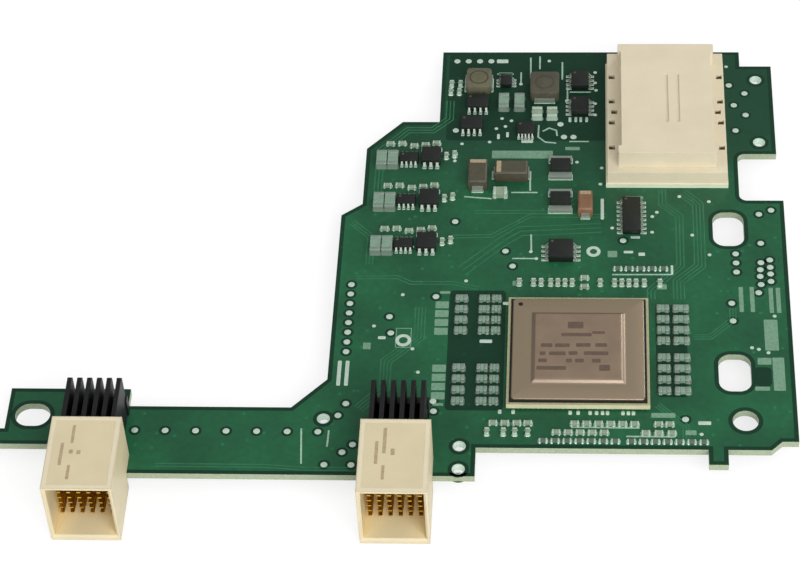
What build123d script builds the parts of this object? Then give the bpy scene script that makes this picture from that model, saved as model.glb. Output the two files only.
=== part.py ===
import os
from build123d import *

# Mezzanine network card for a blade server. All sizes are millimetres.
# The origin is the centre of the round mounting hole, on the board's underside.
# +X runs right along the front edge, +Y to the back, +Z up on the side that carries the parts.

# Circuit board: thickness, and how far each edge lies from the round mounting hole
board_thickness = 1.65
reach_back = 107.9
reach_right = 10.4
reach_front = 7.5
corner_front = 5.3
corner_width = 5.5
nib_left = 7.6
nib_width = 3.9
nib_length = 3.8
notch_near = 61.2
notch_width = 14.1
notch_floor = 1.0
notch_radius = 1.6
shelf_right = 9.5
shelf_back = 103.2
shelf_step = 2.5
body_left = 84.8
waist_step = 4.4
shoulder_step = 7.6
head_step = 8.2
waist_left = body_left - waist_step
shoulder_left = waist_left - shoulder_step
head_left = shoulder_left - head_step
shoulder_back = 85.2
waist_back = 76.7
waist_front = 59.8
body_back = 56.4
body_front = 10.0
arm_corner = 91.7
arm_back = 2.5
arm_front = 14.8
arm_right = 53.9
tab_step = 125.0
tab_back = 7.0
tab_front = 7.6
tab_left = 149.7
ear_back = 3.6
ear_left = 155.0

# Holes in the board
mount_hole_radius = 2.6
oblong_hole_length = 7.2
oblong_hole_width = 5.8
oblong_hole_left = 144.4
latch_slot_width = 6.6
latch_slot_length = 9.8
latch_slot_radius = 2.5
latch_slot_left = 1.7
latch_slot_first = 12.55
latch_slot_pitch = 40.15
pin_hole_radius = 1.2
shelf_pin_right = 5.9
shelf_pin_first = 78.9
shelf_pin_pitch = 19.8
arm_pin_left = 57.2
arm_pin_first = 13.0
arm_pin_pitch = 5.8
guide_pin_left = 84.9
guide_pin_front = 0.4

# Network controller
controller_left = 33.55
controller_back = 16.83
substrate_side = 29.0
substrate_thickness = 1.2
ball_height = 0.5
ball_radius = 0.38
balls_per_side = 12
ball_margin = 1.0
lid_side = 27.1
lid_brim = 0.75
lid_step_width = 19.1
lid_step_depth = 19.4
lid_step_height = 0.65
lid_step_taper = 50.0

# Mezzanine connector
mezzanine_left = 14.5
mezzanine_inset = 5.3
mezzanine_width = 25.8
mezzanine_length = 37.4
mezzanine_base_height = 4.5
mezzanine_foot_height = 1.1
mezzanine_foot_width = 0.3
mezzanine_well_width = 18.0
mezzanine_well_length = 31.2
flange_pocket = 1.3
flange_pocket_depth = 2.2
flange_pocket_edge = 0.35
flange_pocket_middle_edge = 0.9
flange_pocket_offsets = (3.3, 11.1)
cover_height = 4.4
cover_roof = 0.9
cover_end_width = 21.2
cover_end_length = 2.3
cover_waist_width = 19.8
cover_groove_width = 0.7
cover_groove_length = 15.0
cover_groove_depth = 0.25
cover_groove_spacing = 2.45
cover_end_inset = 1.6
cover_corner_radius = 0.5
cover_corner_share = 0.45
contact_wafer_count = 13
contact_wafer_pitch = 2.3
contact_wafer_thickness = 1.5
contact_wafer_end_gap = 0.3
contact_wafer_head_gap = 0.25

# Backplane headers
header_lefts = {"left": 130.35, "right": 69.2}
wafer_count = 6
wafer_pitch = 2.0
wafer_thickness = 0.9
header_side_wall = 0.8
header_side_play = 0.15
header_top_wall = 0.9
header_floor_wall = 1.2
header_height_above_board = 12.0
header_drop_below_board = 2.75
header_seat_length = 4.7
header_overhang = 13.4
header_web_inset = 2.2
header_edge_gap = 0.15
header_lead_in = 0.4
wafer_rear_reach = 11.3
wafer_rear_chamfer = 0.6
organiser_height = 4.5
organiser_back_wall = 0.5
organiser_slot_depth = 1.2
organiser_edge = 0.3
blades_per_wafer = 8
blade_pitch = 1.6
blade_width = 1.0
blade_height = 0.5
blade_recess = 4.7
tail_rows = 4
tail_pitch = 2.0
tail_side = 0.6
tail_first_row = 1.9

# Gull-wing leads
lead_thickness = 0.2
lead_foot_share = 0.55

# Leads on each side of the leaded packages
eight_lead_count = 4
driver_lead_count = 4
flash_lead_count = 4
switch_lead_count = 8
monitor_lead_count = 5
regulator_lead_count = 3

# Leaded packages: body length along the lead row, body width, body height, lead pitch,
# lead width, span over the leads
eight_lead_size = (4.9, 3.9, 1.45, 1.27, 0.45, 6.0)
driver_size = (4.2, 2.8, 1.1, 1.0, 0.4, 4.6)
flash_size = (5.3, 5.3, 1.8, 1.27, 0.45, 8.0)
switch_size = (9.9, 3.9, 1.5, 1.27, 0.45, 6.0)
monitor_size = (3.9, 3.6, 1.2, 0.75, 0.32, 5.2)
regulator_size = (3.1, 2.6, 1.2, 0.95, 0.4, 4.2)
package_standoff = 0.1

# Where the leaded packages stand: from the board's back left corner for the ones near the
# inductors, from the controller's centre for the memory. The switch stands at a share of the
# way from the controller's back edge to the mezzanine connector.
eight_lead_front_row = ((8.4, -17.2), (7.2, -24.0))
eight_lead_side_row = ((31.2, -10.0), (31.2, -18.3))
regulator_place = (14.6, -10.2)
monitor_place = (19.2, -25.5)
flash_place = (-3.75, 28.6)
switch_right = 11.3
switch_share = 0.733

# Power phases, repeated to the back along the left side of the board
phase_count = 3
phase_pitch = 12.9
phase_from_waist = 12.4
phase_back_inset = 4.6
driver_offset = (-2.9, 1.3)
transistor_offset = (2.0, 1.6)
transistor_size = (4.3, 4.4, 1.7)
transistor_tab = 0.9
transistor_tab_thickness = 0.5
transistor_leads = 3
transistor_lead_pitch = 1.4
transistor_lead_width = 0.6
phase_capacitor_offsets = ((-8.85, 0.6), (-6.4, 0.6))

# Power inductors: centre from the back left corner, then length between the clipless sides,
# width between the clipped sides and height. The first is turned by a quarter.
inductor_corner_chamfer = 0.7
inductor_places = ((8.5, -10.9), (23.3, -12.9))
inductor_sizes = ((6.2, 5.6, 2.6), (6.5, 7.0, 3.0))
inductor_clip_margin = 0.3
inductor_clip_height = 1.3
inductor_clip_thickness = 0.3

# Moulded capacitors: length, width and height, and their bent terminals
tantalum_large = (7.3, 4.3, 2.8)
tantalum_small = (6.0, 3.3, 2.5)
tantalum_chamfer = 0.35
tantalum_terminal_thickness = 0.2
tantalum_terminal_share = 0.55
tantalum_foot = 0.5
polymer_size = (4.4, 3.5, 1.9)
polymer_terminal_width = 5.0
polymer_terminal_length = 1.5
polymer_terminal_height = 0.9

# The moulded capacitors stand in front of a line between the controller and the back edge
middle_share = 0.6
tantalum_upright_place = (-22.0, -3.94)
tantalum_level_place = (-14.7, -2.84)
tantalum_end_place = (1.4, -12.44)
polymer_first = (-4.0, -11.04)
polymer_pitch = 10.1
medium_level_places = ((-17.05, -8.7),)

# Ceramic capacitors and resistors: length, width, height, terminal length
ceramic_large = (4.4, 2.3, 1.6, 0.9)
ceramic_medium = (3.0, 2.3, 1.4, 0.7)
ceramic_small = (1.7, 0.95, 0.75, 0.4)
resistor_small = (1.7, 0.95, 0.55, 0.35)

# Larger ceramic capacitors near the inductors, from the back left corner
large_upright_places = ((14.2, -17.1), (17.7, -17.1))
medium_upright_places = ((21.7, -20.6), (25.0, -20.6))

# Banks of capacitors beside the controller: distance of each column from its centre and length
# of its capacitors, then the first row of the front and back bank on each side
bank_rows = 4
bank_pitch = 2.95
bank_width = 1.5
bank_height = 0.8
bank_terminal_share = 0.33
bank_left_columns = ((24.4, 2.5), (19.6, 2.2), (17.1, 1.9))
bank_right_columns = ((17.5, 2.5), (21.2, 3.2))
bank_left_firsts = (-12.5, 6.5)
bank_right_firsts = (-9.4, 4.0)

# Small parts round the controller, as rows: distance behind its centre, then distances to the
# right. The upright ones lie along Y, the level ones along X.
small_upright_rows = (
    (20.07, (-12.45, -9.45, -7.85, -5.85, -4.35, -2.85, -1.35)),
    (20.07, (4.55, 7.55, 9.05, 10.55, 12.05, 13.75, 17.05)),
    (-20.43, (-18.25, -14.95, -12.65, -10.05)),
)
small_level_rows = (
    (21.37, (1.25,)),
    (18.87, (1.25,)),
    (-18.13, (-17.05, -14.65, -12.25, -10.05, -0.65, 1.75, 4.15, 6.55, 8.95, 11.35, 16.15, 18.35)),
    (-20.43, (-4.35, -1.95, 0.45, 2.85, 5.25, 13.55, 16.15, 18.75)),
)
resistor_level_rows = (
    (24.17, (8.25, 10.65, 13.05, 15.45, 17.85)),
    (-22.53, (-6.95, -4.55, -2.15, 0.25, 2.65, 5.05, 7.45)),
    (-22.53, (10.65, 13.05, 15.45, 17.85, 20.25, 22.65, 25.05)),
)

# Small upright parts left of the first inductor, from the back left corner
corner_small_places = ((2.3, -10.7), (2.2, -13.3), (4.3, -10.7), (4.1, -13.3))

# Small parts beside each power phase
phase_small_upright_offsets = ((5.3, 2.2), (7.1, 2.7))
phase_small_level_offsets = ((-7.2, 5.9), (-4.6, 6.0), (-1.9, 5.3), (0.6, 5.6), (3.0, 6.1))


def block(x_low, x_high, y_low, y_high, z_low, z_high):
    """A rectangular block between two corners."""
    size = Box(x_high - x_low, y_high - y_low, z_high - z_low, align=(Align.MIN, Align.MIN, Align.MIN))
    return Pos(x_low, y_low, z_low) * size


def standing(x, y, length, width, height, lift=0.0):
    """A block on the board, centred on x and y."""
    base = board_thickness + lift
    return Pos(x, y, base) * Box(length, width, height, align=(Align.CENTER, Align.CENTER, Align.MIN))


def side_profile(points, x_low, x_high):
    """A solid with a profile in the YZ plane, carried from x_low to x_high."""
    outline = make_face(Plane.YZ * Polyline(*points, close=True))
    return Pos(x_low, 0, 0) * extrude(outline, amount=x_high - x_low, dir=(1, 0, 0))


def turned(part, quarter_turns):
    """The part turned about the vertical by quarter turns."""
    return Rot(0, 0, 90 * quarter_turns) * part


def group(solids):
    """Separate solids of one kind as one compound."""
    found = []
    for shape in solids:
        found.extend(shape.solids())
    return Compound(found)


def board_outline():
    """The stepped outline, from the right front corner to the back and round by the arm."""
    corners = [
        (reach_right, -corner_front),
        (reach_right, notch_near),
        (notch_floor, notch_near),
        (notch_floor, notch_near + notch_width),
        (shelf_right, notch_near + notch_width),
        (shelf_right, shelf_back),
        (shelf_step, shelf_back),
        (shelf_step, reach_back),
        (-head_left, reach_back),
        (-head_left, shoulder_back),
        (-shoulder_left, shoulder_back),
        (-waist_left, waist_back),
        (-waist_left, waist_front),
        (-body_left, body_back),
        (-body_left, body_front),
        (-arm_corner, arm_back),
        (-tab_step, arm_back),
        (-tab_step, tab_back),
        (-tab_left, tab_back),
        (-tab_left, -ear_back),
        (-ear_left, -ear_back),
        (-ear_left, -tab_front),
        (-header_shelf_left(), -tab_front),
        (-header_shelf_left(), -arm_front),
        (-arm_right, -arm_front),
        (-arm_right, -reach_front),
        (-nib_left, -reach_front),
        (-nib_left, -reach_front - nib_length),
        (nib_width - nib_left, -reach_front - nib_length),
        (nib_width - nib_left, -reach_front),
        (reach_right - corner_width, -reach_front),
        (reach_right - corner_width + reach_front - corner_front, -corner_front),
    ]
    face = make_face(Polyline(*corners, close=True))
    inner = [v for v in face.vertices() if abs(v.X - notch_floor) < notch_radius / 10]
    return fillet(inner, notch_radius)


def header_width():
    """Outer width of a backplane header across its wafers and side walls."""
    return wafer_count * wafer_pitch + 2 * header_side_play + 2 * header_side_wall


def header_shelf_left():
    """How far left the arm carries the left header: just inside the header's own side."""
    return header_lefts["left"] + header_width() / 2 - header_side_wall


def tail_places(centre_x):
    """Centres of the press-fit tails under the wafers of one header."""
    rear = -arm_front + header_seat_length
    places = []
    for wafer in range(wafer_count):
        x = centre_x + (wafer - (wafer_count - 1) / 2) * wafer_pitch
        for row in range(tail_rows):
            places.append((x, rear + tail_first_row + row * tail_pitch))
    return places


def circuit_board():
    """The board with its mounting holes, latch slots, pin holes and press-fit holes."""
    board = extrude(board_outline(), amount=board_thickness)
    through = 4 * board_thickness
    cuts = [Cylinder(mount_hole_radius, through)]
    oblong = SlotOverall(oblong_hole_length, oblong_hole_width)
    cuts.append(Pos(-oblong_hole_left, 0, -board_thickness) * extrude(oblong, amount=through))
    slot = RectangleRounded(latch_slot_width, latch_slot_length, latch_slot_radius)
    for step in range(2):
        y = latch_slot_first + step * latch_slot_pitch
        cuts.append(Pos(-latch_slot_left, y, -board_thickness) * extrude(slot, amount=through))
    pins = [(shelf_pin_right, shelf_pin_first), (shelf_pin_right, shelf_pin_first + shelf_pin_pitch)]
    pins += [(-arm_pin_left, -arm_pin_first), (-arm_pin_left, arm_pin_pitch - arm_pin_first)]
    pins.append((-guide_pin_left, -guide_pin_front))
    for x, y in pins:
        cuts.append(Pos(x, y, 0) * Cylinder(pin_hole_radius, through))
    for side in header_lefts:
        for x, y in tail_places(-header_lefts[side]):
            cuts.append(Pos(x, y, 0) * Box(tail_side, tail_side, through))
    return board - cuts


def controller():
    """The ball grid package: balls, substrate and stepped lid."""
    x = -controller_left
    y = controller_back
    first = ball_margin - substrate_side / 2
    pitch = (substrate_side - 2 * ball_margin) / (balls_per_side - 1)
    ball = extrude(RegularPolygon(ball_radius, 6), amount=ball_height)
    balls = []
    for row in range(balls_per_side):
        for column in range(balls_per_side):
            on_rim = row in (0, balls_per_side - 1) or column in (0, balls_per_side - 1)
            if on_rim:
                place = Pos(x + first + column * pitch, y + first + row * pitch, board_thickness)
                balls.append(place * ball)
    substrate = standing(x, y, substrate_side, substrate_side, substrate_thickness, ball_height)
    lid_lift = ball_height + substrate_thickness
    brim = standing(x, y, lid_side, lid_side, lid_brim, lid_lift)
    step = extrude(Rectangle(lid_step_width, lid_step_depth), amount=lid_step_height, taper=lid_step_taper)
    lid = brim + Pos(x, y, board_thickness + lid_lift + lid_brim) * step
    return group(balls), substrate, lid


def mezzanine_centre():
    """Centre of the mezzanine connector on the board."""
    return -mezzanine_left, reach_back - mezzanine_inset - mezzanine_length / 2


def mezzanine_base():
    """The moulded base: a rectangular ring with a foot round it and pockets along both flanges."""
    x, y = mezzanine_centre()
    ring = standing(x, y, mezzanine_width, mezzanine_length, mezzanine_base_height)
    foot_width = mezzanine_width + 2 * mezzanine_foot_width
    foot_length = mezzanine_length + 2 * mezzanine_foot_width
    ring += standing(x, y, foot_width, foot_length, mezzanine_foot_height)
    ring -= standing(x, y, mezzanine_well_width, mezzanine_well_length, mezzanine_base_height)
    floor = mezzanine_base_height - flange_pocket_depth
    offsets = [0.0]
    for offset in flange_pocket_offsets:
        offsets += [offset, -offset]
    for offset in offsets:
        edge = flange_pocket_edge if offset else flange_pocket_middle_edge
        reach = mezzanine_width / 2 - edge - flange_pocket / 2
        for side in (-1, 1):
            pocket_x = x + side * reach
            ring -= standing(pocket_x, y + offset, flange_pocket, flange_pocket, flange_pocket_depth, floor)
    return ring


def mezzanine_cover():
    """The smooth cover: wider at its two ends, hollow below, with two faint grooves on top."""
    x, y = mezzanine_centre()
    half_waist = cover_waist_width / 2
    half_end = cover_end_width / 2
    half_length = mezzanine_length / 2 - cover_end_inset
    shoulder = half_length - cover_end_length
    quarter = [(half_waist, 0), (half_waist, shoulder), (half_end, shoulder), (half_end, half_length)]
    back = quarter[1:] + [(-px, py) for px, py in reversed(quarter[1:])]
    outline = make_face(Polyline(*back, *[(-px, -py) for px, py in back], close=True))
    radius = min(cover_corner_radius, cover_corner_share * (half_end - half_waist))
    outline = fillet(outline.vertices(), radius)
    cover = extrude(outline, amount=cover_height)
    hollow = Box(
        mezzanine_well_width,
        mezzanine_well_length,
        cover_height - cover_roof,
        align=(Align.CENTER, Align.CENTER, Align.MIN),
    )
    cover -= hollow
    groove = Box(cover_groove_width, cover_groove_length, 2 * cover_groove_depth)
    for side in (0, 1):
        cover -= Pos(side * cover_groove_spacing, 0, cover_height) * groove
    return Pos(x, y, board_thickness + mezzanine_base_height) * cover


def mezzanine_contact_wafers():
    """Contact wafers standing on the board inside the base and the cover."""
    x, y = mezzanine_centre()
    width = mezzanine_well_width - 2 * contact_wafer_end_gap
    height = mezzanine_base_height + cover_height - cover_roof - contact_wafer_head_gap
    wafers = []
    for index in range(contact_wafer_count):
        offset = (index - (contact_wafer_count - 1) / 2) * contact_wafer_pitch
        wafers.append(standing(x, y + offset, width, contact_wafer_thickness, height))
    return group(wafers)


def header_rows():
    """Y of the header's front face, of the front of its web and of its rear face."""
    front = -arm_front - header_overhang
    web = -arm_front - header_web_inset
    rear = -arm_front + header_seat_length
    return front, web, rear


def wafer_slots(centre_x, y_low, y_high, z_low, z_high):
    """One upright slab per wafer, the thickness of the wafer."""
    slabs = []
    for index in range(wafer_count):
        x = centre_x + (index - (wafer_count - 1) / 2) * wafer_pitch
        half = wafer_thickness / 2
        slabs.append(block(x - half, x + half, y_low, y_high, z_low, z_high))
    return slabs


def header_nose_floor():
    """Lowest point of a wafer's nose, in the mouth of the header."""
    return header_floor_wall - header_drop_below_board


def header_wafer_top():
    """Top edge of the wafers."""
    return board_thickness + header_height_above_board - header_top_wall


def header_housing(centre_x):
    """The shroud: it sits on the board's edge, hangs below it in front, and opens to the front."""
    front, web, rear = header_rows()
    top = board_thickness + header_height_above_board
    edge = -arm_front - header_edge_gap
    profile = [
        (front, -header_drop_below_board),
        (edge, -header_drop_below_board),
        (edge, board_thickness),
        (rear, board_thickness),
        (rear, top),
        (front, top),
    ]
    half = header_width() / 2
    housing = side_profile(profile, centre_x - half, centre_x + half)
    mouth_half = half - header_side_wall
    mouth_floor = header_nose_floor()
    mouth_top = top - header_top_wall
    housing -= block(centre_x - mouth_half, centre_x + mouth_half, front, web, mouth_floor, mouth_top)
    housing -= wafer_slots(centre_x, web, edge, mouth_floor, header_wafer_top())
    housing -= wafer_slots(centre_x, edge, rear, board_thickness, header_wafer_top())
    rim = housing.faces().sort_by(Axis.Y)[0].inner_wires()[0].edges()
    return chamfer(rim, header_lead_in)


def header_wafers(centre_x):
    """Six upright contact wafers: the noses fill the web, the tails run to the rear."""
    front, web, rear = header_rows()
    top = header_wafer_top()
    end = rear + wafer_rear_reach
    edge = -arm_front - header_edge_gap
    profile = [
        (web, header_nose_floor()),
        (edge, header_nose_floor()),
        (edge, board_thickness),
        (end, board_thickness),
        (end, top - wafer_rear_chamfer),
        (end - wafer_rear_chamfer, top),
        (web, top),
    ]
    half = wafer_thickness / 2
    wafers = []
    for index in range(wafer_count):
        x = centre_x + (index - (wafer_count - 1) / 2) * wafer_pitch
        wafers.append(side_profile(profile, x - half, x + half))
    return group(wafers)


def header_organiser(centre_x):
    """The comb across the rear edges of the wafers."""
    rear = header_rows()[2] + wafer_rear_reach
    half = ((wafer_count - 1) * wafer_pitch + wafer_thickness) / 2 + organiser_edge
    low = rear - organiser_slot_depth
    high = rear + organiser_back_wall
    top = board_thickness + organiser_height
    comb = block(centre_x - half, centre_x + half, low, high, board_thickness, top)
    comb -= wafer_slots(centre_x, low, rear, board_thickness, top)
    return comb


def header_blades(centre_x):
    """Contact blades in the mouth, one column to a wafer."""
    front, web, rear = header_rows()
    tip = front + blade_recess
    middle = (header_nose_floor() + header_wafer_top()) / 2
    blades = []
    for index in range(wafer_count):
        x = centre_x + (index - (wafer_count - 1) / 2) * wafer_pitch
        for row in range(blades_per_wafer):
            z = middle + (row - (blades_per_wafer - 1) / 2) * blade_pitch
            half_x = blade_width / 2
            half_z = blade_height / 2
            blades.append(block(x - half_x, x + half_x, tip, web, z - half_z, z + half_z))
    return group(blades)


def header_tails(centre_x):
    """Press-fit tails in the board's plated holes, flush with its underside."""
    tails = []
    for x, y in tail_places(centre_x):
        tails.append(standing(x, y, tail_side, tail_side, board_thickness, -board_thickness))
    return group(tails)


def gull_lead(length, width, height):
    """One lead from the body's side down to the board and out, along +X."""
    knee = length * (1 - lead_foot_share)
    points = [
        (0, height),
        (0, height + lead_thickness),
        (knee + lead_thickness, lead_thickness),
        (length, lead_thickness),
        (length, 0),
        (knee, 0),
    ]
    outline = make_face(Plane.XZ * Polyline(*points, close=True))
    return extrude(outline, amount=width / 2, both=True)


def package(size, leads_per_side, x, y, quarter_turns):
    """A moulded package with gull-wing leads along its two long sides, along Y before it is turned."""
    length, width, height, pitch, lead_width, span = size
    body = Pos(0, 0, package_standoff) * Box(
        width, length, height, align=(Align.CENTER, Align.CENTER, Align.MIN)
    )
    lead = gull_lead((span - width) / 2, lead_width, package_standoff + height / 2)
    place = Pos(x, y, board_thickness)
    leads = []
    for index in range(leads_per_side):
        offset = (index - (leads_per_side - 1) / 2) * pitch
        right = Pos(width / 2, offset, 0) * lead
        leads.append(place * turned(right, quarter_turns))
        leads.append(place * turned(Rot(0, 0, 180) * right, quarter_turns))
    return place * turned(body, quarter_turns), leads


def packages(size, leads_per_side, places, quarter_turns):
    """Bodies and leads of several packages of one kind."""
    bodies = []
    leads = []
    for x, y in places:
        body, body_leads = package(size, leads_per_side, x, y, quarter_turns)
        bodies.append(body)
        leads.extend(body_leads)
    return bodies, leads


def phase_places():
    """Where each power phase of the supply stands, the last one near the back of the waist."""
    x = phase_from_waist - waist_left
    last = waist_back - phase_back_inset
    return [(x, last - (phase_count - 1 - index) * phase_pitch) for index in range(phase_count)]


def power_transistors():
    """Transistor bodies with a wide tab at the back and three leads at the front."""
    length, width, height = transistor_size
    bodies = []
    leads = []
    for x, y in phase_places():
        centre_x = x + transistor_offset[0]
        centre_y = y + transistor_offset[1]
        bodies.append(standing(centre_x, centre_y, length, width, height))
        rear = centre_y + width / 2 + transistor_tab / 2
        leads.append(standing(centre_x, rear, length, transistor_tab, transistor_tab_thickness))
        lead = turned(gull_lead(transistor_tab, transistor_lead_width, height / 2), 3)
        for index in range(transistor_leads):
            offset = (index - (transistor_leads - 1) / 2) * transistor_lead_pitch
            leads.append(Pos(centre_x + offset, centre_y - width / 2, board_thickness) * lead)
    return bodies, leads


def inductors():
    """Shielded power inductors with a metal clip on two opposite sides."""
    bodies = []
    clips = []
    turns = (1, 0)
    for (x, y), size, quarter_turns in zip(beside_corner(inductor_places), inductor_sizes, turns):
        length, width, height = size
        place = Pos(x, y, 0)
        body = standing(0, 0, length, width, height)
        body = chamfer(body.edges().filter_by(Axis.Z), inductor_corner_chamfer)
        bodies.append(place * turned(body, quarter_turns))
        clip_length = length - 2 * (inductor_corner_chamfer + inductor_clip_margin)
        clip_y = (width + inductor_clip_thickness) / 2
        clip = standing(0, clip_y, clip_length, inductor_clip_thickness, inductor_clip_height)
        for half_turn in (0, 2):
            clips.append(place * turned(clip, quarter_turns + half_turn))
    return bodies, clips


def moulded_capacitor(size, x, y, quarter_turns):
    """A moulded tantalum capacitor, its length along X before it is turned."""
    length, width, height = size
    body = Box(length, width, height, align=(Align.CENTER, Align.CENTER, Align.MIN))
    body = chamfer(body.faces().sort_by(Axis.Z)[-1].edges(), tantalum_chamfer)
    rise = height * tantalum_terminal_share
    strip_width = width * tantalum_terminal_share
    thickness = tantalum_terminal_thickness
    points = [
        (length / 2, 0),
        (length / 2, rise),
        (length / 2 + thickness, rise),
        (length / 2 + thickness, thickness),
        (length / 2 + tantalum_foot, thickness),
        (length / 2 + tantalum_foot, 0),
    ]
    outline = make_face(Plane.XZ * Polyline(*points, close=True))
    strip = extrude(outline, amount=strip_width / 2, both=True)
    place = Pos(x, y, board_thickness)
    strips = [place * turned(strip, quarter_turns), place * turned(strip, quarter_turns + 2)]
    return place * turned(body, quarter_turns), strips


def polymer_capacitors():
    """Black capacitors with a wide flat terminal at the front and the rear."""
    width, depth, height = polymer_size
    bodies = []
    terminals = []
    x, first = beside_middle([polymer_first])[0]
    for y in (first, first + polymer_pitch):
        bodies.append(standing(x, y, width, depth, height))
        for side in (-1, 1):
            terminal_y = y + side * (depth + polymer_terminal_length) / 2
            terminals.append(
                standing(x, terminal_y, polymer_terminal_width, polymer_terminal_length, polymer_terminal_height)
            )
    return bodies, terminals


def chips(size, places, along_y):
    """Bodies and end terminals of chip parts of one size, at the given centres."""
    length, width, height, terminal = size
    middle = length - 2 * terminal
    bodies = []
    terminals = []
    for x, y in places:
        if along_y:
            bodies.append(standing(x, y, width, middle, height))
        else:
            bodies.append(standing(x, y, middle, width, height))
        for side in (-1, 1):
            offset = side * (middle + terminal) / 2
            if along_y:
                terminals.append(standing(x, y + offset, width, terminal, height))
            else:
                terminals.append(standing(x + offset, y, terminal, width, height))
    return bodies, terminals


def beside_corner(places):
    """Places given from the board's back left corner."""
    return [(x - head_left, y + reach_back) for x, y in places]


def beside_controller(places):
    """Places given from the controller's centre."""
    return [(x - controller_left, y + controller_back) for x, y in places]


def beside_middle(places):
    """Places given from the line between the controller and the back edge."""
    middle = controller_back + middle_share * (reach_back - controller_back)
    return [(x - controller_left, y + middle) for x, y in places]


def beside_phase(places):
    """Places given from each power phase, repeated for all of them."""
    found = []
    for phase_x, phase_y in phase_places():
        for x, y in places:
            found.append((phase_x + x, phase_y + y))
    return found


def bank_capacitors():
    """The banks of capacitors on both sides of the controller, row by row."""
    bodies = []
    terminals = []
    sides = ((-1, bank_left_columns, bank_left_firsts), (1, bank_right_columns, bank_right_firsts))
    for side, columns, firsts in sides:
        for column, length in columns:
            size = (length, bank_width, bank_height, length * bank_terminal_share)
            rows = [first + row * bank_pitch for first in firsts for row in range(bank_rows)]
            places = beside_controller([(side * column, row) for row in rows])
            column_bodies, column_terminals = chips(size, places, False)
            bodies += column_bodies
            terminals += column_terminals
    return bodies, terminals


def rows_beside_controller(rows):
    """Places of parts in rows: each row is a distance behind the controller and distances across."""
    return beside_controller([(x, y) for y, across in rows for x in across])


def switch_place():
    """The switch stands between the controller's back edge and the mezzanine connector."""
    near = controller_back + substrate_side / 2
    far = mezzanine_centre()[1] - mezzanine_length / 2 - mezzanine_foot_width
    return switch_right - controller_left, near + switch_share * (far - near)


def build():
    """Every piece of the card, by the name of its node."""
    balls, substrate, lid = controller()
    nodes = {
        "circuit_board": circuit_board(),
        "controller_solder_balls": balls,
        "controller_substrate": substrate,
        "controller_lid": lid,
        "mezzanine_base": mezzanine_base(),
        "mezzanine_contact_wafers": mezzanine_contact_wafers(),
        "mezzanine_cover": mezzanine_cover(),
    }
    for side, left in header_lefts.items():
        nodes[side + "_header_shroud"] = header_housing(-left)
        nodes[side + "_header_wafers"] = header_wafers(-left)
        nodes[side + "_header_organiser"] = header_organiser(-left)
        nodes[side + "_header_blades"] = header_blades(-left)
        nodes[side + "_header_tails"] = header_tails(-left)

    front = beside_corner(eight_lead_front_row)
    side = beside_corner(eight_lead_side_row)
    front_bodies, front_leads = packages(eight_lead_size, eight_lead_count, front, 1)
    side_bodies, side_leads = packages(eight_lead_size, eight_lead_count, side, 0)
    nodes["eight_lead_ic_bodies"] = group(front_bodies + side_bodies)
    nodes["eight_lead_ic_leads"] = group(front_leads + side_leads)
    kinds = {
        "driver_ic": (driver_size, driver_lead_count, beside_phase([driver_offset]), 1),
        "flash_memory": (flash_size, flash_lead_count, beside_controller([flash_place]), 0),
        "switch_ic": (switch_size, switch_lead_count, [switch_place()], 0),
        "monitor_ic": (monitor_size, monitor_lead_count, beside_corner([monitor_place]), 1),
        "regulator_ic": (regulator_size, regulator_lead_count, beside_corner([regulator_place]), 0),
    }
    for name, (size, leads_per_side, places, quarter_turns) in kinds.items():
        bodies, leads = packages(size, leads_per_side, places, quarter_turns)
        nodes[name + "_body"] = group(bodies)
        nodes[name + "_leads"] = group(leads)

    bodies, leads = power_transistors()
    nodes["power_transistor_bodies"] = group(bodies)
    nodes["power_transistor_leads"] = group(leads)
    bodies, clips = inductors()
    nodes["power_inductor_bodies"] = group(bodies)
    nodes["power_inductor_clips"] = group(clips)

    upright_x, upright_y = beside_middle([tantalum_upright_place])[0]
    level_x, level_y = beside_middle([tantalum_level_place])[0]
    end_x, end_y = beside_middle([tantalum_end_place])[0]
    upright, upright_strips = moulded_capacitor(tantalum_large, upright_x, upright_y, 1)
    level, level_strips = moulded_capacitor(tantalum_large, level_x, level_y, 0)
    end, end_strips = moulded_capacitor(tantalum_small, end_x, end_y, 1)
    nodes["tantalum_capacitor_bodies"] = group([upright, level, end])
    nodes["tantalum_capacitor_terminals"] = group(upright_strips + level_strips + end_strips)
    bodies, terminals = polymer_capacitors()
    nodes["polymer_capacitor_bodies"] = group(bodies)
    nodes["polymer_capacitor_terminals"] = group(terminals)

    bodies, terminals = bank_capacitors()
    nodes["bank_capacitor_bodies"] = group(bodies)
    nodes["bank_capacitor_terminals"] = group(terminals)
    large_places = beside_phase(phase_capacitor_offsets) + beside_corner(large_upright_places)
    large_bodies, large_terminals = chips(ceramic_large, large_places, True)
    nodes["large_capacitor_bodies"] = group(large_bodies)
    nodes["large_capacitor_terminals"] = group(large_terminals)
    upright_bodies, upright_terminals = chips(ceramic_medium, beside_corner(medium_upright_places), True)
    level_bodies, level_terminals = chips(ceramic_medium, beside_middle(medium_level_places), False)
    nodes["medium_capacitor_bodies"] = group(upright_bodies + level_bodies)
    nodes["medium_capacitor_terminals"] = group(upright_terminals + level_terminals)

    upright_places = rows_beside_controller(small_upright_rows) + beside_corner(corner_small_places)
    upright_places += beside_phase(phase_small_upright_offsets)
    level_places = rows_beside_controller(small_level_rows) + beside_phase(phase_small_level_offsets)
    upright_bodies, upright_terminals = chips(ceramic_small, upright_places, True)
    level_bodies, level_terminals = chips(ceramic_small, level_places, False)
    nodes["small_capacitor_bodies"] = group(upright_bodies + level_bodies)
    nodes["small_capacitor_terminals"] = group(upright_terminals + level_terminals)
    bodies, terminals = chips(resistor_small, rows_beside_controller(resistor_level_rows), False)
    nodes["resistor_bodies"] = group(bodies)
    nodes["resistor_terminals"] = group(terminals)
    return nodes


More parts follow.
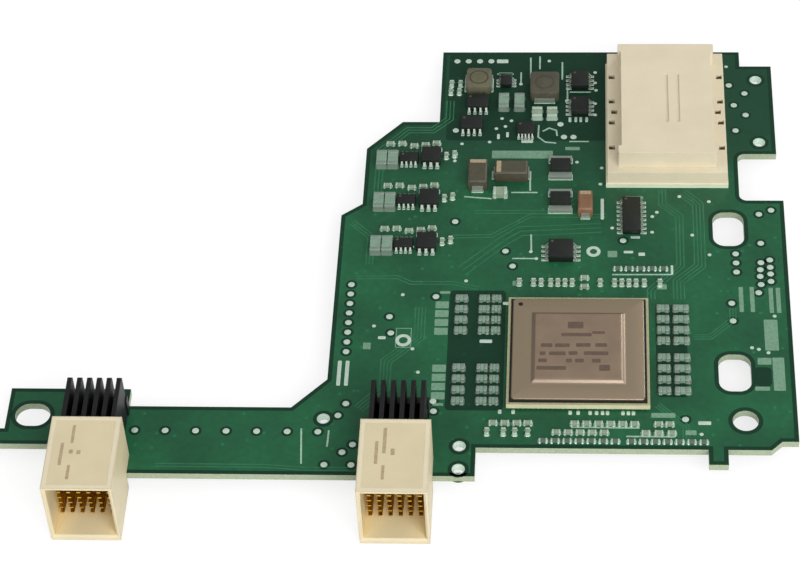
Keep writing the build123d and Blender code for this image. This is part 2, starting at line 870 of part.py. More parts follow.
os.makedirs("parts", exist_ok=True)
for node, shape in build().items():
    export_step(shape, "parts/" + node + ".step")
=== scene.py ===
import math
import bpy
import numpy as np
from bpy.props import FloatProperty, FloatVectorProperty, PointerProperty
from mathutils import Matrix, Vector


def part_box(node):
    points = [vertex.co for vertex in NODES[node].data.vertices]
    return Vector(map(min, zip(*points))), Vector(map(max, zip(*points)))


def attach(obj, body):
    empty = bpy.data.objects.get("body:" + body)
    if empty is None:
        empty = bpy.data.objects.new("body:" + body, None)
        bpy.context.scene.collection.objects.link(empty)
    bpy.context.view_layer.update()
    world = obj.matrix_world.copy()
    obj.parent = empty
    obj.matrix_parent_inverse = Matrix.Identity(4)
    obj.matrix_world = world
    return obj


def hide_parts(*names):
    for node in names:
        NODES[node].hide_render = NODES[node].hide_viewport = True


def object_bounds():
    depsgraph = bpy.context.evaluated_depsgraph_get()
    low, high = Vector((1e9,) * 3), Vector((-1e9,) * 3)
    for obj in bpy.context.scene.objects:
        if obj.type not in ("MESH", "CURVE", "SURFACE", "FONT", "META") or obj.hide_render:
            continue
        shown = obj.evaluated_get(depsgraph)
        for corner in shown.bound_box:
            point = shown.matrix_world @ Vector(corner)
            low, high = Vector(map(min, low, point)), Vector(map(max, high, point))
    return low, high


bl_info = {
    "name": "Mezzanine network card",
    "version": (1, 0, 0),
    "blender": (4, 5, 0),
    "location": "3D View > Sidebar > Card",
    "description": "Finishes for the card's board, connectors and soldered parts, with a stage to show it on",
    "category": "Object",
}

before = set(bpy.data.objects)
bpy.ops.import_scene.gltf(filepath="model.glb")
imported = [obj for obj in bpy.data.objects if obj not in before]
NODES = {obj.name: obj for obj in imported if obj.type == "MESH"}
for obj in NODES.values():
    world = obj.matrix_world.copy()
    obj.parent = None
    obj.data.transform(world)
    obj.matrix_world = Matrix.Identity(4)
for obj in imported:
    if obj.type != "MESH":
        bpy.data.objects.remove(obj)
CAD_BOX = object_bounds()
MM = 0.001
MICROMETRE = 1e-6
BOARD_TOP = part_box("circuit_board")[1].z


def linear(code):
    """Linear red, green and blue of an sRGB hex colour, with full alpha."""
    parts = np.array([int(code[i:i + 2], 16) for i in (1, 3, 5)]) / 255
    parts = np.where(parts <= 0.04045, parts / 12.92, ((parts + 0.055) / 1.055) ** 2.4)
    return (*parts.tolist(), 1.0)


def colour(name, code, description):
    """A colour setting whose default is an sRGB hex colour."""
    return FloatVectorProperty(
        name=name, description=description, default=linear(code), size=4, min=0.0, max=1.0, subtype="COLOR"
    )


def length(name, millimetres, description):
    """A length setting whose default is given in millimetres."""
    return FloatProperty(
        name=name, description=description, default=millimetres * MM, min=0.0, unit="LENGTH", precision=5
    )


def view_angle(name, degrees, description):
    """A setting of the camera's direction whose default is given in degrees."""
    return FloatProperty(
        name=name, description=description, default=math.radians(degrees), unit="ROTATION"
    )


def lamp_power(name, watts, description):
    """The setting of a lamp's power."""
    return FloatProperty(name=name, description=description, default=watts, min=0.0, unit="POWER")


# Settings

class BoardSettings(bpy.types.PropertyGroup):
    """The lacquered board and what is plated or printed on it."""

    lacquer: colour("Lacquer over copper", "#1F5F3D", "Solder mask where copper lies under it")
    lacquer_dark: colour("Lacquer over laminate", "#123B28", "Solder mask where there is no copper")
    laminate: colour("Laminate", "#9DA98E", "Cut edge of the glass and epoxy board")
    trace: colour("Trace", "#2C6B49", "Solder mask over a raised copper trace")
    ink: colour("Ink", "#9CBAA8", "Screen printed marks")
    faint_ink: colour("Thin ink", "#6F957C", "Printed fields that the lacquer shows through")
    tin: colour("Tin", "#DDF2E2", "Plated pads and solder")
    pad_height: length("Pad height", 0.05, "How far a plated pad stands above the lacquer")
    pad_reach: length("Pad reach", 0.14, "How far a pad shows round a lead or terminal")
    clearance: length("Pad clearance", 1.25, "Radius of the field without copper round a test pad")
    ink_height: length("Ink height", 0.025, "How far a printed mark stands above the lacquer")
    ink_width: length("Ink line width", 0.36, "Width of a printed line")
    trace_height: length("Trace height", 0.02, "How far a trace lifts the lacquer")
    trace_width: length("Trace width", 0.3, "Width of a trace")
    margin: length("Copper margin", 0.9, "How far the copper stays back from every cut edge")


class ConnectorSettings(bpy.types.PropertyGroup):
    """The moulded connectors and their contacts."""

    cover: colour("Board connector", "#D8CDB2", "Moulded housing and cover of the board connector")
    header: colour("Header", "#D0C3A1", "Moulded shroud of the backplane headers")
    wafer: colour("Wafer", "#0B0B0D", "Moulded contact wafers")
    gold: colour("Contact plating", "#EFC850", "Gold on the contact beams")
    # Painted light: the warm and amber tones stand for light inside a header's mouth, warm light just inside
    # and an amber reflection of the gold deeper in. The foot tone is a painted mint reflection of the green
    # board.
    warm: colour("Warm shade", "#F3E0AE", "Tone of the polymer just inside a mouth, which passes light on")
    amber: colour("Amber shade", "#D9AE5C", "Tone of the polymer deep in a mouth, lit by the gold")
    foot: colour("Foot", "#D3E6CD", "Tone of the board connector close to the board, lit by the lacquer")
    # Painted highlight: the rim tone is the lighter border where the rounded edges of a header's top catch
    # the light.
    rim: colour("Rim", "#DACFB2", "Polished border of the header tops")
    mark: colour("Mark", "#AD9B7B", "Plain strokes marked on the header tops")
    bronze: colour("Bare contact", "#6B5F40", "Contact metal in the pockets of the base")
    beam_thickness: length("Beam thickness", 0.3, "Thickness of a contact beam")


class PartSettings(bpy.types.PropertyGroup):
    """The soldered parts."""

    nickel: colour("Lid plating", "#B8A18B", "Nickel on the copper lid")
    brim: colour("Brim plating", "#B2A188", "Nickel on the lid's brim")
    # Painted shade: the slope tone darkens the lid's drawn slopes and edges, which dims their highlights.
    slope: colour("Slope plating", "#8E7F70", "Nickel on the lid's drawn slopes and edges")
    substrate: colour("Substrate", "#A6A581", "Lacquer on the laminate under the lid")
    # Partly painted highlight: the substrate edge is the pale cut laminate, made paler for the light its
    # upright faces catch.
    substrate_edge: colour("Substrate edge", "#C9C8A3", "Cut edge of that laminate")
    epoxy: colour("Moulding compound", "#0B120D", "Black epoxy of the packages")
    tin: colour("Lead plating", "#9DA99C", "Tin on leads and terminals")
    dull_tin: colour("Fired terminal", "#9BAFA0", "Tin over fired silver on the banks of capacitors")
    fresh_tin: colour("Small terminal", "#C2D9C8", "Tin over fired silver on the small chip parts")
    ceramic: colour("Capacitor ceramic", "#76907E", "Fired ceramic between the terminals")
    pale_ceramic: colour("Small ceramic", "#84957F", "Fired ceramic of the small chip parts")
    resistor: colour("Resistor glaze", "#56645A", "Grey glaze over the resistor film")
    tantalum: colour("Tantalum moulding", "#484436", "Moulding of the large capacitors")
    tantalum_warm: colour("Warm tantalum moulding", "#7B5A42", "Moulding of the capacitor near the switch")
    ferrite: colour("Ferrite", "#484639", "Pressed body of the wide inductor")
    pale_ferrite: colour("Pale ferrite", "#5A5945", "Pressed body of the narrow inductor")
    core_gap: colour("Core gap", "#3D3C2B", "Resin in the gap round an inductor's core")
    lid_mark: colour("Lid mark", "#5D4C40", "Plain strokes marked on the lid")
    polarity: colour("Polarity bar", "#A39377", "Bar marked on a tantalum capacitor")
    fillet_reach: length("Fillet reach", 0.2, "How far solder spreads from a terminal")


class StageSettings(bpy.types.PropertyGroup):
    """Camera, lamps and floor."""

    camera_place: FloatVectorProperty(
        name="Camera place", description="Where the camera stands", size=3, subtype="TRANSLATION",
        unit="LENGTH", precision=5, default=(-0.03416, -0.34073, 0.41911)
    )
    azimuth: view_angle("Azimuth", 5.62, "Turn of the view to the left")
    elevation: view_angle("Elevation", 47.97, "How far the view looks down")
    roll: view_angle("Roll", -3.87, "Turn of the picture about the line of sight")
    lens: FloatProperty(
        name="Lens", description="Focal length on a 36 mm sensor", unit="CAMERA", default=120.2, min=1.0
    )
    key_power: lamp_power("Key lamp", 12.5, "Power of the large lamp at the front right")
    fill_power: lamp_power("Fill lamp", 1.6, "Power of the lamp at the left")
    rim_power: lamp_power("Rim lamp", 3.0, "Power of the small lamp at the back right")
    room: FloatProperty(
        name="Room light", description="Strength of the light from the bright side of the room",
        default=0.78, min=0.0
    )
    room_back: FloatProperty(
        name="Room behind", description="Share of that light that comes from behind the card",
        default=0.38, min=0.0, max=1.0
    )
    floor: colour("Floor", "#F2F2F2", "Pale floor under the card")


# Surfaces

def raised(flat, height):
    """Corners of rings, from their places seen from above and their heights, which are spread to fit."""
    return np.concatenate([flat, np.broadcast_to(height, flat.shape[:3])[..., None]], axis=3)


def strip_section(width, height, base):
    """Offsets to both sides and heights of the four corners of a low strip's section."""
    return np.array([-width, -width, width, width]) / 2, np.array([0, height, height, 0]) + base


def directions(sides):
    """Unit steps away from a centre, evenly spaced round it."""
    angle = np.linspace(0, 2 * math.pi, sides, endpoint=False)
    return np.stack([np.cos(angle), np.sin(angle)], axis=1)


def stacked_outlines(centres, halves, bottoms, heights, corner, levels, turns=2):
    """Rings of closed boxes with rounded corners, one stack for each centre.

    A ring is a rectangle whose corners are quarter circles. Ring j is the box's outline drawn in by
    the inset of level j, at the bottom plus the level's share of the height plus its rise.
    """
    inset, share, rise = (np.array(column, float) for column in zip(*levels))
    centres = np.asarray(centres, float).reshape(-1, 2)
    count = len(centres)
    halves = np.broadcast_to(np.asarray(halves, float), (count, 2))
    bottoms = np.broadcast_to(np.asarray(bottoms, float), (count,))
    heights = np.broadcast_to(np.asarray(heights, float), (count,))
    quarter = np.repeat(np.arange(4), turns + 1)
    angle = (quarter + np.tile(np.linspace(0, 1, turns + 1), 4)) * math.pi / 2
    sign = np.stack([np.where((quarter == 0) | (quarter == 3), 1, -1), np.where(quarter < 2, 1, -1)], axis=1)
    round_off = np.maximum(corner - inset, 0.1 * corner)[None, :, None, None]
    middle = halves[:, None, None, :] - inset[None, :, None, None] - round_off
    circle = np.stack([np.cos(angle), np.sin(angle)], axis=1)[None, None]
    flat = centres[:, None, None, :] + sign[None, None] * middle + round_off * circle
    height = bottoms[:, None] + share[None] * heights[:, None] + rise[None]
    return raised(flat, height[:, :, None])


def carried_profile(paths, profile, base):
    """Rings of closed strips, one for each path.

    The profile, given as distance to the left and height, is carried along each path. At a corner
    it lies in the plane that halves the turn, and is stretched by one over the cosine of half the turn.
    """
    paths = np.asarray(paths, float)
    step = np.diff(paths, axis=1)
    step /= np.linalg.norm(step, axis=2, keepdims=True)
    before = np.concatenate([step[:, :1], step], axis=1)
    after = np.concatenate([step, step[:, -1:]], axis=1)
    middle = before + after
    middle /= np.linalg.norm(middle, axis=2, keepdims=True)
    stretch = 1 / np.sum(middle * after, axis=2, keepdims=True)
    left = np.stack([-middle[..., 1], middle[..., 0]], axis=2) * stretch
    profile = np.asarray(profile, float)
    flat = paths[:, :, None, :] + left[:, :, None, :] * profile[None, None, :, :1]
    return raised(flat, base + profile[:, 1])


def framed(centres, halves, width, height, base):
    """Rings of closed rectangular frames: at each corner the profile lies on the diagonal."""
    centres = np.asarray(centres, float).reshape(-1, 1, 1, 2)
    halves = np.asarray(halves, float).reshape(-1, 1, 1, 2)
    sign = np.array([(1, 1), (-1, 1), (-1, -1), (1, -1)], float)[None, :, None, :]
    offset, lift = strip_section(width, height, base)
    return raised(centres + sign * (halves + offset[:, None]), lift)


def annuli(centres, radius, width, height, base, sides=16):
    """Rings of flat closed rings: a four-cornered profile turned about each centre."""
    centres = np.asarray(centres, float).reshape(-1, 1, 1, 2)
    outward = directions(sides)[None, :, None, :]
    offset, lift = strip_section(width, height, base)
    return raised(centres + outward * (radius + offset[:, None]), lift)


def balls(centres, bottom, height, radius, sides, rows):
    """Rings of squat spheres: ring j is a circle at latitude j, with small flats top and bottom."""
    centres = np.asarray(centres, float).reshape(-1, 1, 1, 2)
    latitude = np.linspace(-0.46, 0.46, rows) * math.pi
    flat = centres + directions(sides)[None, None] * radius * np.cos(latitude)[None, :, None, None]
    high = bottom + height / 2 * (1 + np.sin(latitude) / math.sin(latitude[-1]))
    return raised(flat, high[:, None])


def contact_beams(tips, ends, width, thickness, dip):
    """Rings of formed contact beams, one from each end on the web to its tip in the mouth.

    Along the beam the height leaves the straight line by the dip times a half wave, and the width
    narrows by a quarter over the last third. The section is a rectangle.
    """
    along = np.linspace(0, 1, 9)
    middle = ends[:, None, :] + (tips - ends)[:, None, :] * along[None, :, None]
    middle[..., 2] += dip * np.sin(math.pi * along)[None, :]
    narrow = 1 - 0.25 * np.clip(3 * along - 2, 0, 1)
    across = np.array([1, -1, -1, 1]) * width / 2
    rise = np.array([1, 1, -1, -1]) * thickness / 2
    rings = np.repeat(middle[:, :, None, :], 4, axis=2)
    rings[..., 0] += across[None, None, :] * narrow[None, :, None]
    rings[..., 2] += rise[None, None, :]
    return rings


def ring_mesh(stacks, looped):
    """Corners and faces of stacks of rings: each ring is joined to the next, the ends capped or met."""
    points = []
    faces = []
    for rings in stacks:
        count, levels, around, _ = rings.shape
        index = np.arange(count * levels * around).reshape(count, levels, around) + sum(map(len, points))
        turned = np.roll(index, -1, axis=2)
        if looped:
            lower, lower_turned = index, turned
            upper, upper_turned = np.roll(index, -1, axis=1), np.roll(turned, -1, axis=1)
        else:
            lower, lower_turned = index[:, :-1], turned[:, :-1]
            upper, upper_turned = index[:, 1:], turned[:, 1:]
            faces += index[:, 0, ::-1].tolist() + index[:, -1].tolist()
        faces += np.stack([lower, lower_turned, upper_turned, upper], axis=-1).reshape(-1, 4).tolist()
        points.append(rings.reshape(-1, 3))
    return np.concatenate(points), faces


def new_piece(name, rings, material, looped=False):
    """An object from one array of stacked rings, or from a list of them."""
    points, faces = ring_mesh(rings if isinstance(rings, list) else [rings], looped)
    return mesh_piece(name, points, faces, material)


def mesh_piece(name, points, faces, material):
    """An object that rides with the card, from its corners and faces: smooth up to a sharp turn."""
    sharp_turn = math.radians(35.0)
    mesh = bpy.data.meshes.new(name)
    mesh.from_pydata(points, [], faces)
    mesh.polygons.foreach_set("use_smooth", np.ones(len(mesh.polygons), bool))
    mesh.set_sharp_from_angle(angle=sharp_turn)
    mesh.update()
    mesh.materials.append(material)
    piece = bpy.data.objects.new(name, mesh)
    bpy.context.scene.collection.objects.link(piece)
    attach(piece, "root")
    return piece


def welded(node):
    """Corners of a CAD node that lie apart, and its triangles as their indices."""
    mesh = NODES[node].data
    points = np.empty(3 * len(mesh.vertices))
    mesh.vertices.foreach_get("co", points)
    corners = np.empty(len(mesh.loops), int)
    mesh.loops.foreach_get("vertex_index", corners)
    steps = np.round(points.reshape(-1, 3) / MICROMETRE).astype(np.int64)
    apart, same = np.unique(steps, axis=0, return_inverse=True)
    return apart * MICROMETRE, same.ravel()[corners].reshape(-1, 3)


def labelled(count, groups):
    """A label for each corner: the lowest one spreads through every group of corners that it meets."""
    label = np.arange(count)
    spread = True
    while spread:
        before = label.copy()
        np.minimum.at(label, groups.ravel(), np.repeat(label[groups].min(axis=1), groups.shape[1]))
        spread = bool((label != before).any())
    return label


def solids_of(node):
    """Lowest and highest corners of each separate solid in a CAD node, as two arrays."""
    points, triangles = welded(node)
    label = labelled(len(points), triangles)
    names = np.unique(label)
    low = np.array([points[label == name].min(axis=0) for name in names])
    high = np.array([points[label == name].max(axis=0) for name in names])
    return low, high


def border_edges(points, triangles, smallest):
    """Edges that only one of the triangles uses, without the borders narrower than the smallest size."""
    edges = np.concatenate([triangles[:, [0, 1]], triangles[:, [1, 2]], triangles[:, [2, 0]]])
    code = edges[:, 0] * len(points) + edges[:, 1]
    border = edges[~np.isin(code, edges[:, 1] * len(points) + edges[:, 0])]
    label = labelled(len(points), border)[border[:, 0]]
    low = np.full((len(points), 3), np.inf)
    high = np.full((len(points), 3), -np.inf)
    np.minimum.at(low, label, points[border[:, 0]])
    np.maximum.at(high, label, points[border[:, 0]])
    size = (high - low).max(axis=1)
    return border[size[label] > smallest]


def border_strips(node, height, width, lift, smallest):
    """Corners and faces of flat strips along the border of a node's flat face, holes included.

    An edge of the border has the face on its left, or on its right where the face looks down. At
    each border corner the strip reaches inward by its width, along the line that halves the corner,
    stretched by one over the cosine of half the turn.
    """
    points, triangles = welded(node)
    flat = triangles[(np.abs(points[triangles][:, :, 2] - height) < MICROMETRE).all(axis=1)]
    border = border_edges(points, flat, smallest)
    way = points[border[:, 1], :2] - points[border[:, 0], :2]
    way /= np.linalg.norm(way, axis=1, keepdims=True)
    first, second, third = points[flat[0], :2]
    turn = np.sign(np.cross(second - first, third - first))
    left = np.stack([-way[:, 1], way[:, 0]], axis=1) * turn
    leaving = np.zeros((len(points), 2))
    arriving = np.zeros((len(points), 2))
    leaving[border[:, 0]] = left
    arriving[border[:, 1]] = left
    used, ends = np.unique(border, return_inverse=True)
    ends = ends.reshape(-1, 2)
    both = leaving[used] + arriving[used]
    side = both / (1 + np.sum(leaving[used] * arriving[used], axis=1, keepdims=True))
    start = 0.03 * MM
    lift = lift * turn
    rows = []
    for reach, rise in ((start, -lift), (start, lift), (width, lift), (width, -lift)):
        place = points[used, :2] + side * reach
        rows.append(np.column_stack([place, np.full(len(used), height + rise)]))
    faces = []
    for row in range(len(rows)):
        near = ends + row * len(used)
        far = ends + (row + 1) % len(rows) * len(used)
        faces += np.column_stack([near, far[:, ::-1]]).tolist()
    return np.concatenate(rows), faces


def plan(low, high):
    """Centres and half sizes, seen from above, of boxes given by their corners."""
    return (low[:, :2] + high[:, :2]) / 2, (high[:, :2] - low[:, :2]) / 2


def shaped_boxes(low, high, corner, levels, turns=2):
    """Rings of boxes with rounded corners that fill the boxes given by their lowest and highest corners."""
    centres, halves = plan(low, high)
    return stacked_outlines(centres, halves, low[:, 2], high[:, 2] - low[:, 2], corner, levels, turns)


# Materials

def add_node(tree, kind, settings=None, links=None):
    """Adds one shader node, sets its properties and sockets, and links what feeds it."""
    node = tree.nodes.new("ShaderNode" + kind)
    for key, value in (settings or {}).items():
        if isinstance(key, str) and hasattr(node, key):
            setattr(node, key, value)
        else:
            node.inputs[key].default_value = value
    for key, source in (links or {}).items():
        tree.links.new(source, node.inputs[key])
    return node


def new_material(name, base, roughness, metallic=0.0, gloss=0.5):
    """A named material with its node tree and its shader, the constant sockets set."""
    made = bpy.data.materials.new(name)
    made.use_nodes = True
    made.diffuse_color = base
    shader = made.node_tree.nodes["Principled BSDF"]
    shader.inputs["Metallic"].default_value = metallic
    shader.inputs["Roughness"].default_value = roughness
    shader.inputs["Base Color"].default_value = base
    shader.inputs["Specular IOR Level"].default_value = gloss
    return made, made.node_tree, shader


def noise(tree, size, detail=2.0):
    """Noise on object coordinates, with features about the given size in millimetres."""
    settings = {"Scale": 1 / (size * MM), "Detail": detail}
    links = {"Vector": add_node(tree, "TexCoord").outputs["Object"]}
    return add_node(tree, "TexNoise", settings, links).outputs["Fac"]


def ramp(tree, factor, low, high):
    """The factor stretched so that low becomes 0 and high becomes 1."""
    settings = {"From Min": low, "From Max": high}
    return add_node(tree, "MapRange", settings, {"Value": factor}).outputs["Result"]


def pattern(tree, size, detail=2.0, low=0.3, high=0.7):
    """Noise of the given size in millimetres, stretched so that low becomes 0 and high becomes 1."""
    return ramp(tree, noise(tree, size, detail), low, high)


def spots(tree, pitch, low, high):
    """Soft round spots on object coordinates, about one to a cell of the pitch in millimetres."""
    coordinates = add_node(tree, "TexCoord").outputs["Object"]
    flat = add_node(tree, "Mapping", {"Scale": (1.0, 1.0, 0.0)}, {"Vector": coordinates}).outputs["Vector"]
    cells = add_node(tree, "TexVoronoi", {"Scale": 1 / (pitch * MM)}, {"Vector": flat})
    return ramp(tree, cells.outputs["Distance"], high, low)


def scaled(tree, factor, amount):
    """A pattern's factor made weaker."""
    return add_node(tree, "Math", {"operation": "MULTIPLY", 1: amount}, {0: factor}).outputs[0]


def either(tree, first, second):
    """The larger of two factors."""
    return add_node(tree, "Math", {"operation": "MAXIMUM"}, {0: first, 1: second}).outputs[0]


def mixed(tree, factor, first, second, share=1.0):
    """One colour, or colour output, blended into another by a factor, or by a share of it."""
    if share != 1.0:
        factor = scaled(tree, factor, share)
    node = add_node(tree, "Mix", {"data_type": "RGBA"}, {0: factor})
    for socket, value in ((6, first), (7, second)):
        if isinstance(value, bpy.types.NodeSocket):
            tree.links.new(value, node.inputs[socket])
        else:
            node.inputs[socket].default_value = value
    return node.outputs[2]


def levelness(tree):
    """One on level faces, nothing on upright ones, and the cosine of the slope between them."""
    normal = add_node(tree, "NewGeometry").outputs["Normal"]
    up = add_node(tree, "SeparateXYZ", None, {0: normal}).outputs["Z"]
    return add_node(tree, "Math", {"operation": "ABSOLUTE"}, {0: up}).outputs[0]


def upright(tree):
    """One on faces that stand upright, such as a cut edge, and nothing on level ones."""
    return add_node(tree, "Math", {"operation": "LESS_THAN", 1: 0.5}, {0: levelness(tree)}).outputs[0]


def place_along(tree, axis):
    """How far a point lies along one axis of the card, in metres."""
    place = add_node(tree, "TexCoord").outputs["Object"]
    return add_node(tree, "SeparateXYZ", None, {0: place}).outputs[axis]


def shade(base, amount):
    """A colour made darker, or lighter for an amount above one."""
    return (*(min(1.0, part * amount) for part in base[:3]), 1.0)


def paint(tree, shader, factor, first, second, share=1.0):
    """Gives the shader one colour blended into another by a factor, or by a share of it."""
    tree.links.new(mixed(tree, factor, first, second, share), shader.inputs["Base Color"])


def relief(tree, shader, height, depth, edge=0.0):
    """Bumps the surface by a pattern of the given depth, and rounds hard edges by the given radius."""
    links = {"Height": height}
    if edge:
        links["Normal"] = add_node(tree, "Bevel", {"samples": 6, "Radius": edge * MM}).outputs["Normal"]
    bump = add_node(tree, "Bump", {"Strength": 1.0, "Distance": depth * MM}, links)
    tree.links.new(bump.outputs["Normal"], shader.inputs["Normal"])


def once(build):
    """Keeps a material that has been built, so that like pieces share it."""
    kept = {}

    def shared(*arguments):
        if arguments not in kept:
            kept[arguments] = build(*arguments)
        return kept[arguments]

    return shared


def lacquer(name, base, dark, roughness, gloss):
    """Photo-imaged epoxy lacquer, a satin green. Clouds follow the copper areas in the layers below,
    small pale spots are the covered vias, and the weave of the glass shows as a faint ripple."""
    made, tree, shader = new_material(name, base, roughness, gloss=gloss)
    clouds = pattern(tree, size=16.0, detail=1.0, low=0.38, high=0.62)
    fine = pattern(tree, size=1.4, detail=3.0)
    vias = spots(tree, pitch=3.1, low=0.07, high=0.16)
    tone = mixed(tree, clouds, base, dark, share=0.45)
    tone = mixed(tree, fine, tone, shade(dark, 0.85), share=0.28)
    tone = mixed(tree, vias, tone, shade(base, 1.7), share=0.5)
    relief(tree, shader, noise(tree, size=0.6), depth=0.01)
    return made, tree, shader, tone


@once
def solder_mask():
    """The lacquered board: green faces, darker towards the back, and the pale cut laminate on every edge and
    hole wall."""
    look = bpy.context.scene.card_board
    made, tree, shader, green = lacquer(
        "solder_mask_lacquer", look.lacquer, look.lacquer_dark, roughness=0.36, gloss=0.32)
    back = ramp(tree, place_along(tree, "Y"), low=62 * MM, high=82 * MM)
    green = mixed(tree, back, green, look.lacquer_dark, share=0.85)
    weave = pattern(tree, size=0.35, low=0.35)
    cut = mixed(tree, weave, look.laminate, shade(look.laminate, 0.78))
    paint(tree, shader, upright(tree), green, cut)
    return made


@once
def bare_mask():
    """The lacquer over laminate without copper: darker and less glossy, since no metal lies under it, along
    the cut edges and in the clear areas. The large clear field beside the board connector is partly painted
    shadow."""
    look = bpy.context.scene.card_board
    base = shade(look.lacquer_dark, 0.85)
    darker = shade(look.lacquer_dark, 0.65)
    made, tree, shader, green = lacquer(
        "solder_mask_over_laminate", base, darker, roughness=0.4, gloss=0.2)
    tree.links.new(green, shader.inputs["Base Color"])
    return made


@once
def copper_trace():
    """The same lacquer where it covers a copper trace: lighter, and smooth along the top."""
    look = bpy.context.scene.card_board
    made, tree, shader = new_material("solder_mask_over_trace", look.trace, roughness=0.33, gloss=0.35)
    paint(tree, shader, pattern(tree, size=2.5), look.trace, look.lacquer)
    return made


@once
def screen_ink(kind):
    """Printed epoxy ink and marked strokes: matt, and thin in places, so that what lies under shows."""
    look = bpy.context.scene
    base = {"line": look.card_board.ink, "field": look.card_board.faint_ink,
            "polarity": look.card_parts.polarity, "lid": look.card_parts.lid_mark,
            "header": look.card_connectors.mark}[kind]
    made, tree, shader = new_material("screen_printed_ink_" + kind, base, roughness=0.6)
    thin = pattern(tree, size=0.5, detail=3.0, low=0.35, high=0.75)
    paint(tree, shader, thin, base, shade(base, 0.72))
    return made


@once
def plated_tin():
    """Reflowed tin on copper pads: its thin oxide scatters much of the light, so a pad looks nearly
    white, with the slight waves of solder that has run."""
    look = bpy.context.scene.card_board
    made, tree, shader = new_material("reflowed_tin", look.tin, roughness=0.36, metallic=0.6)
    waves = noise(tree, size=0.4)
    paint(tree, shader, ramp(tree, waves, low=0.3, high=0.7), look.tin, shade(look.tin, 0.84))
    relief(tree, shader, waves, depth=0.03)
    return made


@once
def tinned_lead(kind):
    """Matt tin plating: pale with a satin grain on bent copper leads, and duller on fired terminals."""
    look = bpy.context.scene.card_parts
    base, roughness, metallic = {
        "lead": (look.tin, 0.5, 0.6), "bank": (look.dull_tin, 0.52, 0.8), "chip": (look.fresh_tin, 0.5, 0.6),
    }[kind]
    made, tree, shader = new_material("tin_plated_" + kind, base, roughness, metallic)
    grain = noise(tree, size=0.15, detail=3.0)
    paint(tree, shader, ramp(tree, grain, low=0.3, high=0.7), base, shade(base, 0.78))
    relief(tree, shader, grain, depth=0.01, edge=0.05)
    return made


@once
def moulded_polymer(kind):
    """Injection moulded liquid crystal polymer: an even satin cream with faint flow streaks. Light and shade
    are painted into its colour: painted warm light just inside a header's mouth, and a painted amber
    reflection of the gold deep in it, near the gold, where ambient occlusion finds the mouth closed in. There
    is also a painted mint reflection of the green board close to the board."""
    look = bpy.context.scene.card_connectors
    base = {"cover": look.cover, "header": look.header, "rim": look.rim}[kind]
    made, tree, shader = new_material("moulded_polymer_" + kind, base, roughness=0.48)
    shader.inputs["IOR"].default_value = 1.55
    streaks = pattern(tree, size=7.0, low=0.35)
    speck = pattern(tree, size=0.25)
    tone = mixed(tree, streaks, base, shade(base, 0.93))
    tone = mixed(tree, speck, tone, shade(base, 0.86), share=0.3)
    if kind == "cover":
        # Painted reflection: the board connector turns mint close to the board, as if lit by the green
        # lacquer.
        near_board = ramp(tree, place_along(tree, "Z"), BOARD_TOP + 1.3 * MM, BOARD_TOP + 0.4 * MM)
        tone = mixed(tree, near_board, tone, look.foot, share=0.8)
    if kind == "header":
        # Painted light and shade: ambient occlusion finds where a mouth closes in. Warm light is painted just
        # inside it, and an amber reflection of the gold deeper in.
        settings = {"samples": 4, "only_local": True, "Distance": 8 * MM}
        openness = add_node(tree, "AmbientOcclusion", settings).outputs["AO"]
        tone = mixed(tree, ramp(tree, openness, low=0.85, high=0.6), tone, look.warm)
        deep = ramp(tree, openness, low=0.5, high=0.2)
        tone = mixed(tree, deep, tone, look.amber, share=0.9)
    tree.links.new(tone, shader.inputs["Base Color"])
    relief(tree, shader, noise(tree, size=0.12), depth=0.006, edge=0.18)
    return made


@once
def wafer_polymer():
    """Black glass filled polymer of the contact wafers: matt, a little grey where the fibres show."""
    look = bpy.context.scene.card_connectors
    made, tree, shader = new_material("glass_filled_polymer_black", look.wafer, roughness=0.5, gloss=0.3)
    paint(tree, shader, pattern(tree, size=1.5, detail=3.0), look.wafer, shade(look.wafer, 2.0))
    relief(tree, shader, noise(tree, size=0.2), depth=0.01, edge=0.12)
    return made


@once
def gold_plating():
    """Hard gold on formed copper alloy blades: warm, with a fine drawn grain."""
    look = bpy.context.scene.card_connectors
    made, tree, shader = new_material("hard_gold_plating", look.gold, roughness=0.28, metallic=1.0)
    paint(tree, shader, noise(tree, size=0.2), look.gold, shade(look.gold, 0.7))
    return made


@once
def bare_bronze():
    """Rolled bronze of the contacts that end in the base's pockets: dark and brown where it is bare."""
    look = bpy.context.scene.card_connectors
    made, tree, shader = new_material("rolled_bronze", look.bronze, roughness=0.5, metallic=1.0)
    paint(tree, shader, pattern(tree, size=0.5), look.bronze, shade(look.bronze, 0.6))
    return made


@once
def nickel_plating():
    """Electroplated nickel over a stamped copper lid: a satin tan grey with a fine orange peel. The brim is
    greyer, and the drawn slopes and edges are darker: painted shade that dims their highlights and darkens
    the slope at the back."""
    look = bpy.context.scene.card_parts
    made, tree, shader = new_material("satin_nickel_plating", look.nickel, roughness=0.42, metallic=1.0)
    clouds = pattern(tree, size=5.0, low=0.35, high=0.65)
    tone = mixed(tree, clouds, look.nickel, shade(look.nickel, 0.88))
    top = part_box("controller_lid")[1].z
    brim = ramp(tree, place_along(tree, "Z"), low=top - 0.2 * MM, high=top - 0.5 * MM)
    tone = mixed(tree, brim, tone, look.brim)
    # Painted shade on the drawn slopes and edges, where the lid turns from level.
    drawn = ramp(tree, levelness(tree), low=0.985, high=0.93)
    paint(tree, shader, drawn, tone, look.slope)
    relief(tree, shader, noise(tree, size=0.25), depth=0.008)
    return made


@once
def package_laminate():
    """Thin build-up laminate of the ball grid package: olive lacquer with a pale cut edge, made paler still
    as a painted highlight where its upright faces catch the light.
    """
    look = bpy.context.scene.card_parts
    made, tree, shader = new_material("package_laminate", look.substrate, roughness=0.45)
    face = mixed(tree, pattern(tree, size=0.4), look.substrate, shade(look.substrate, 0.8))
    paint(tree, shader, upright(tree), face, look.substrate_edge)
    relief(tree, shader, noise(tree, size=0.3), depth=0.006, edge=0.08)
    return made


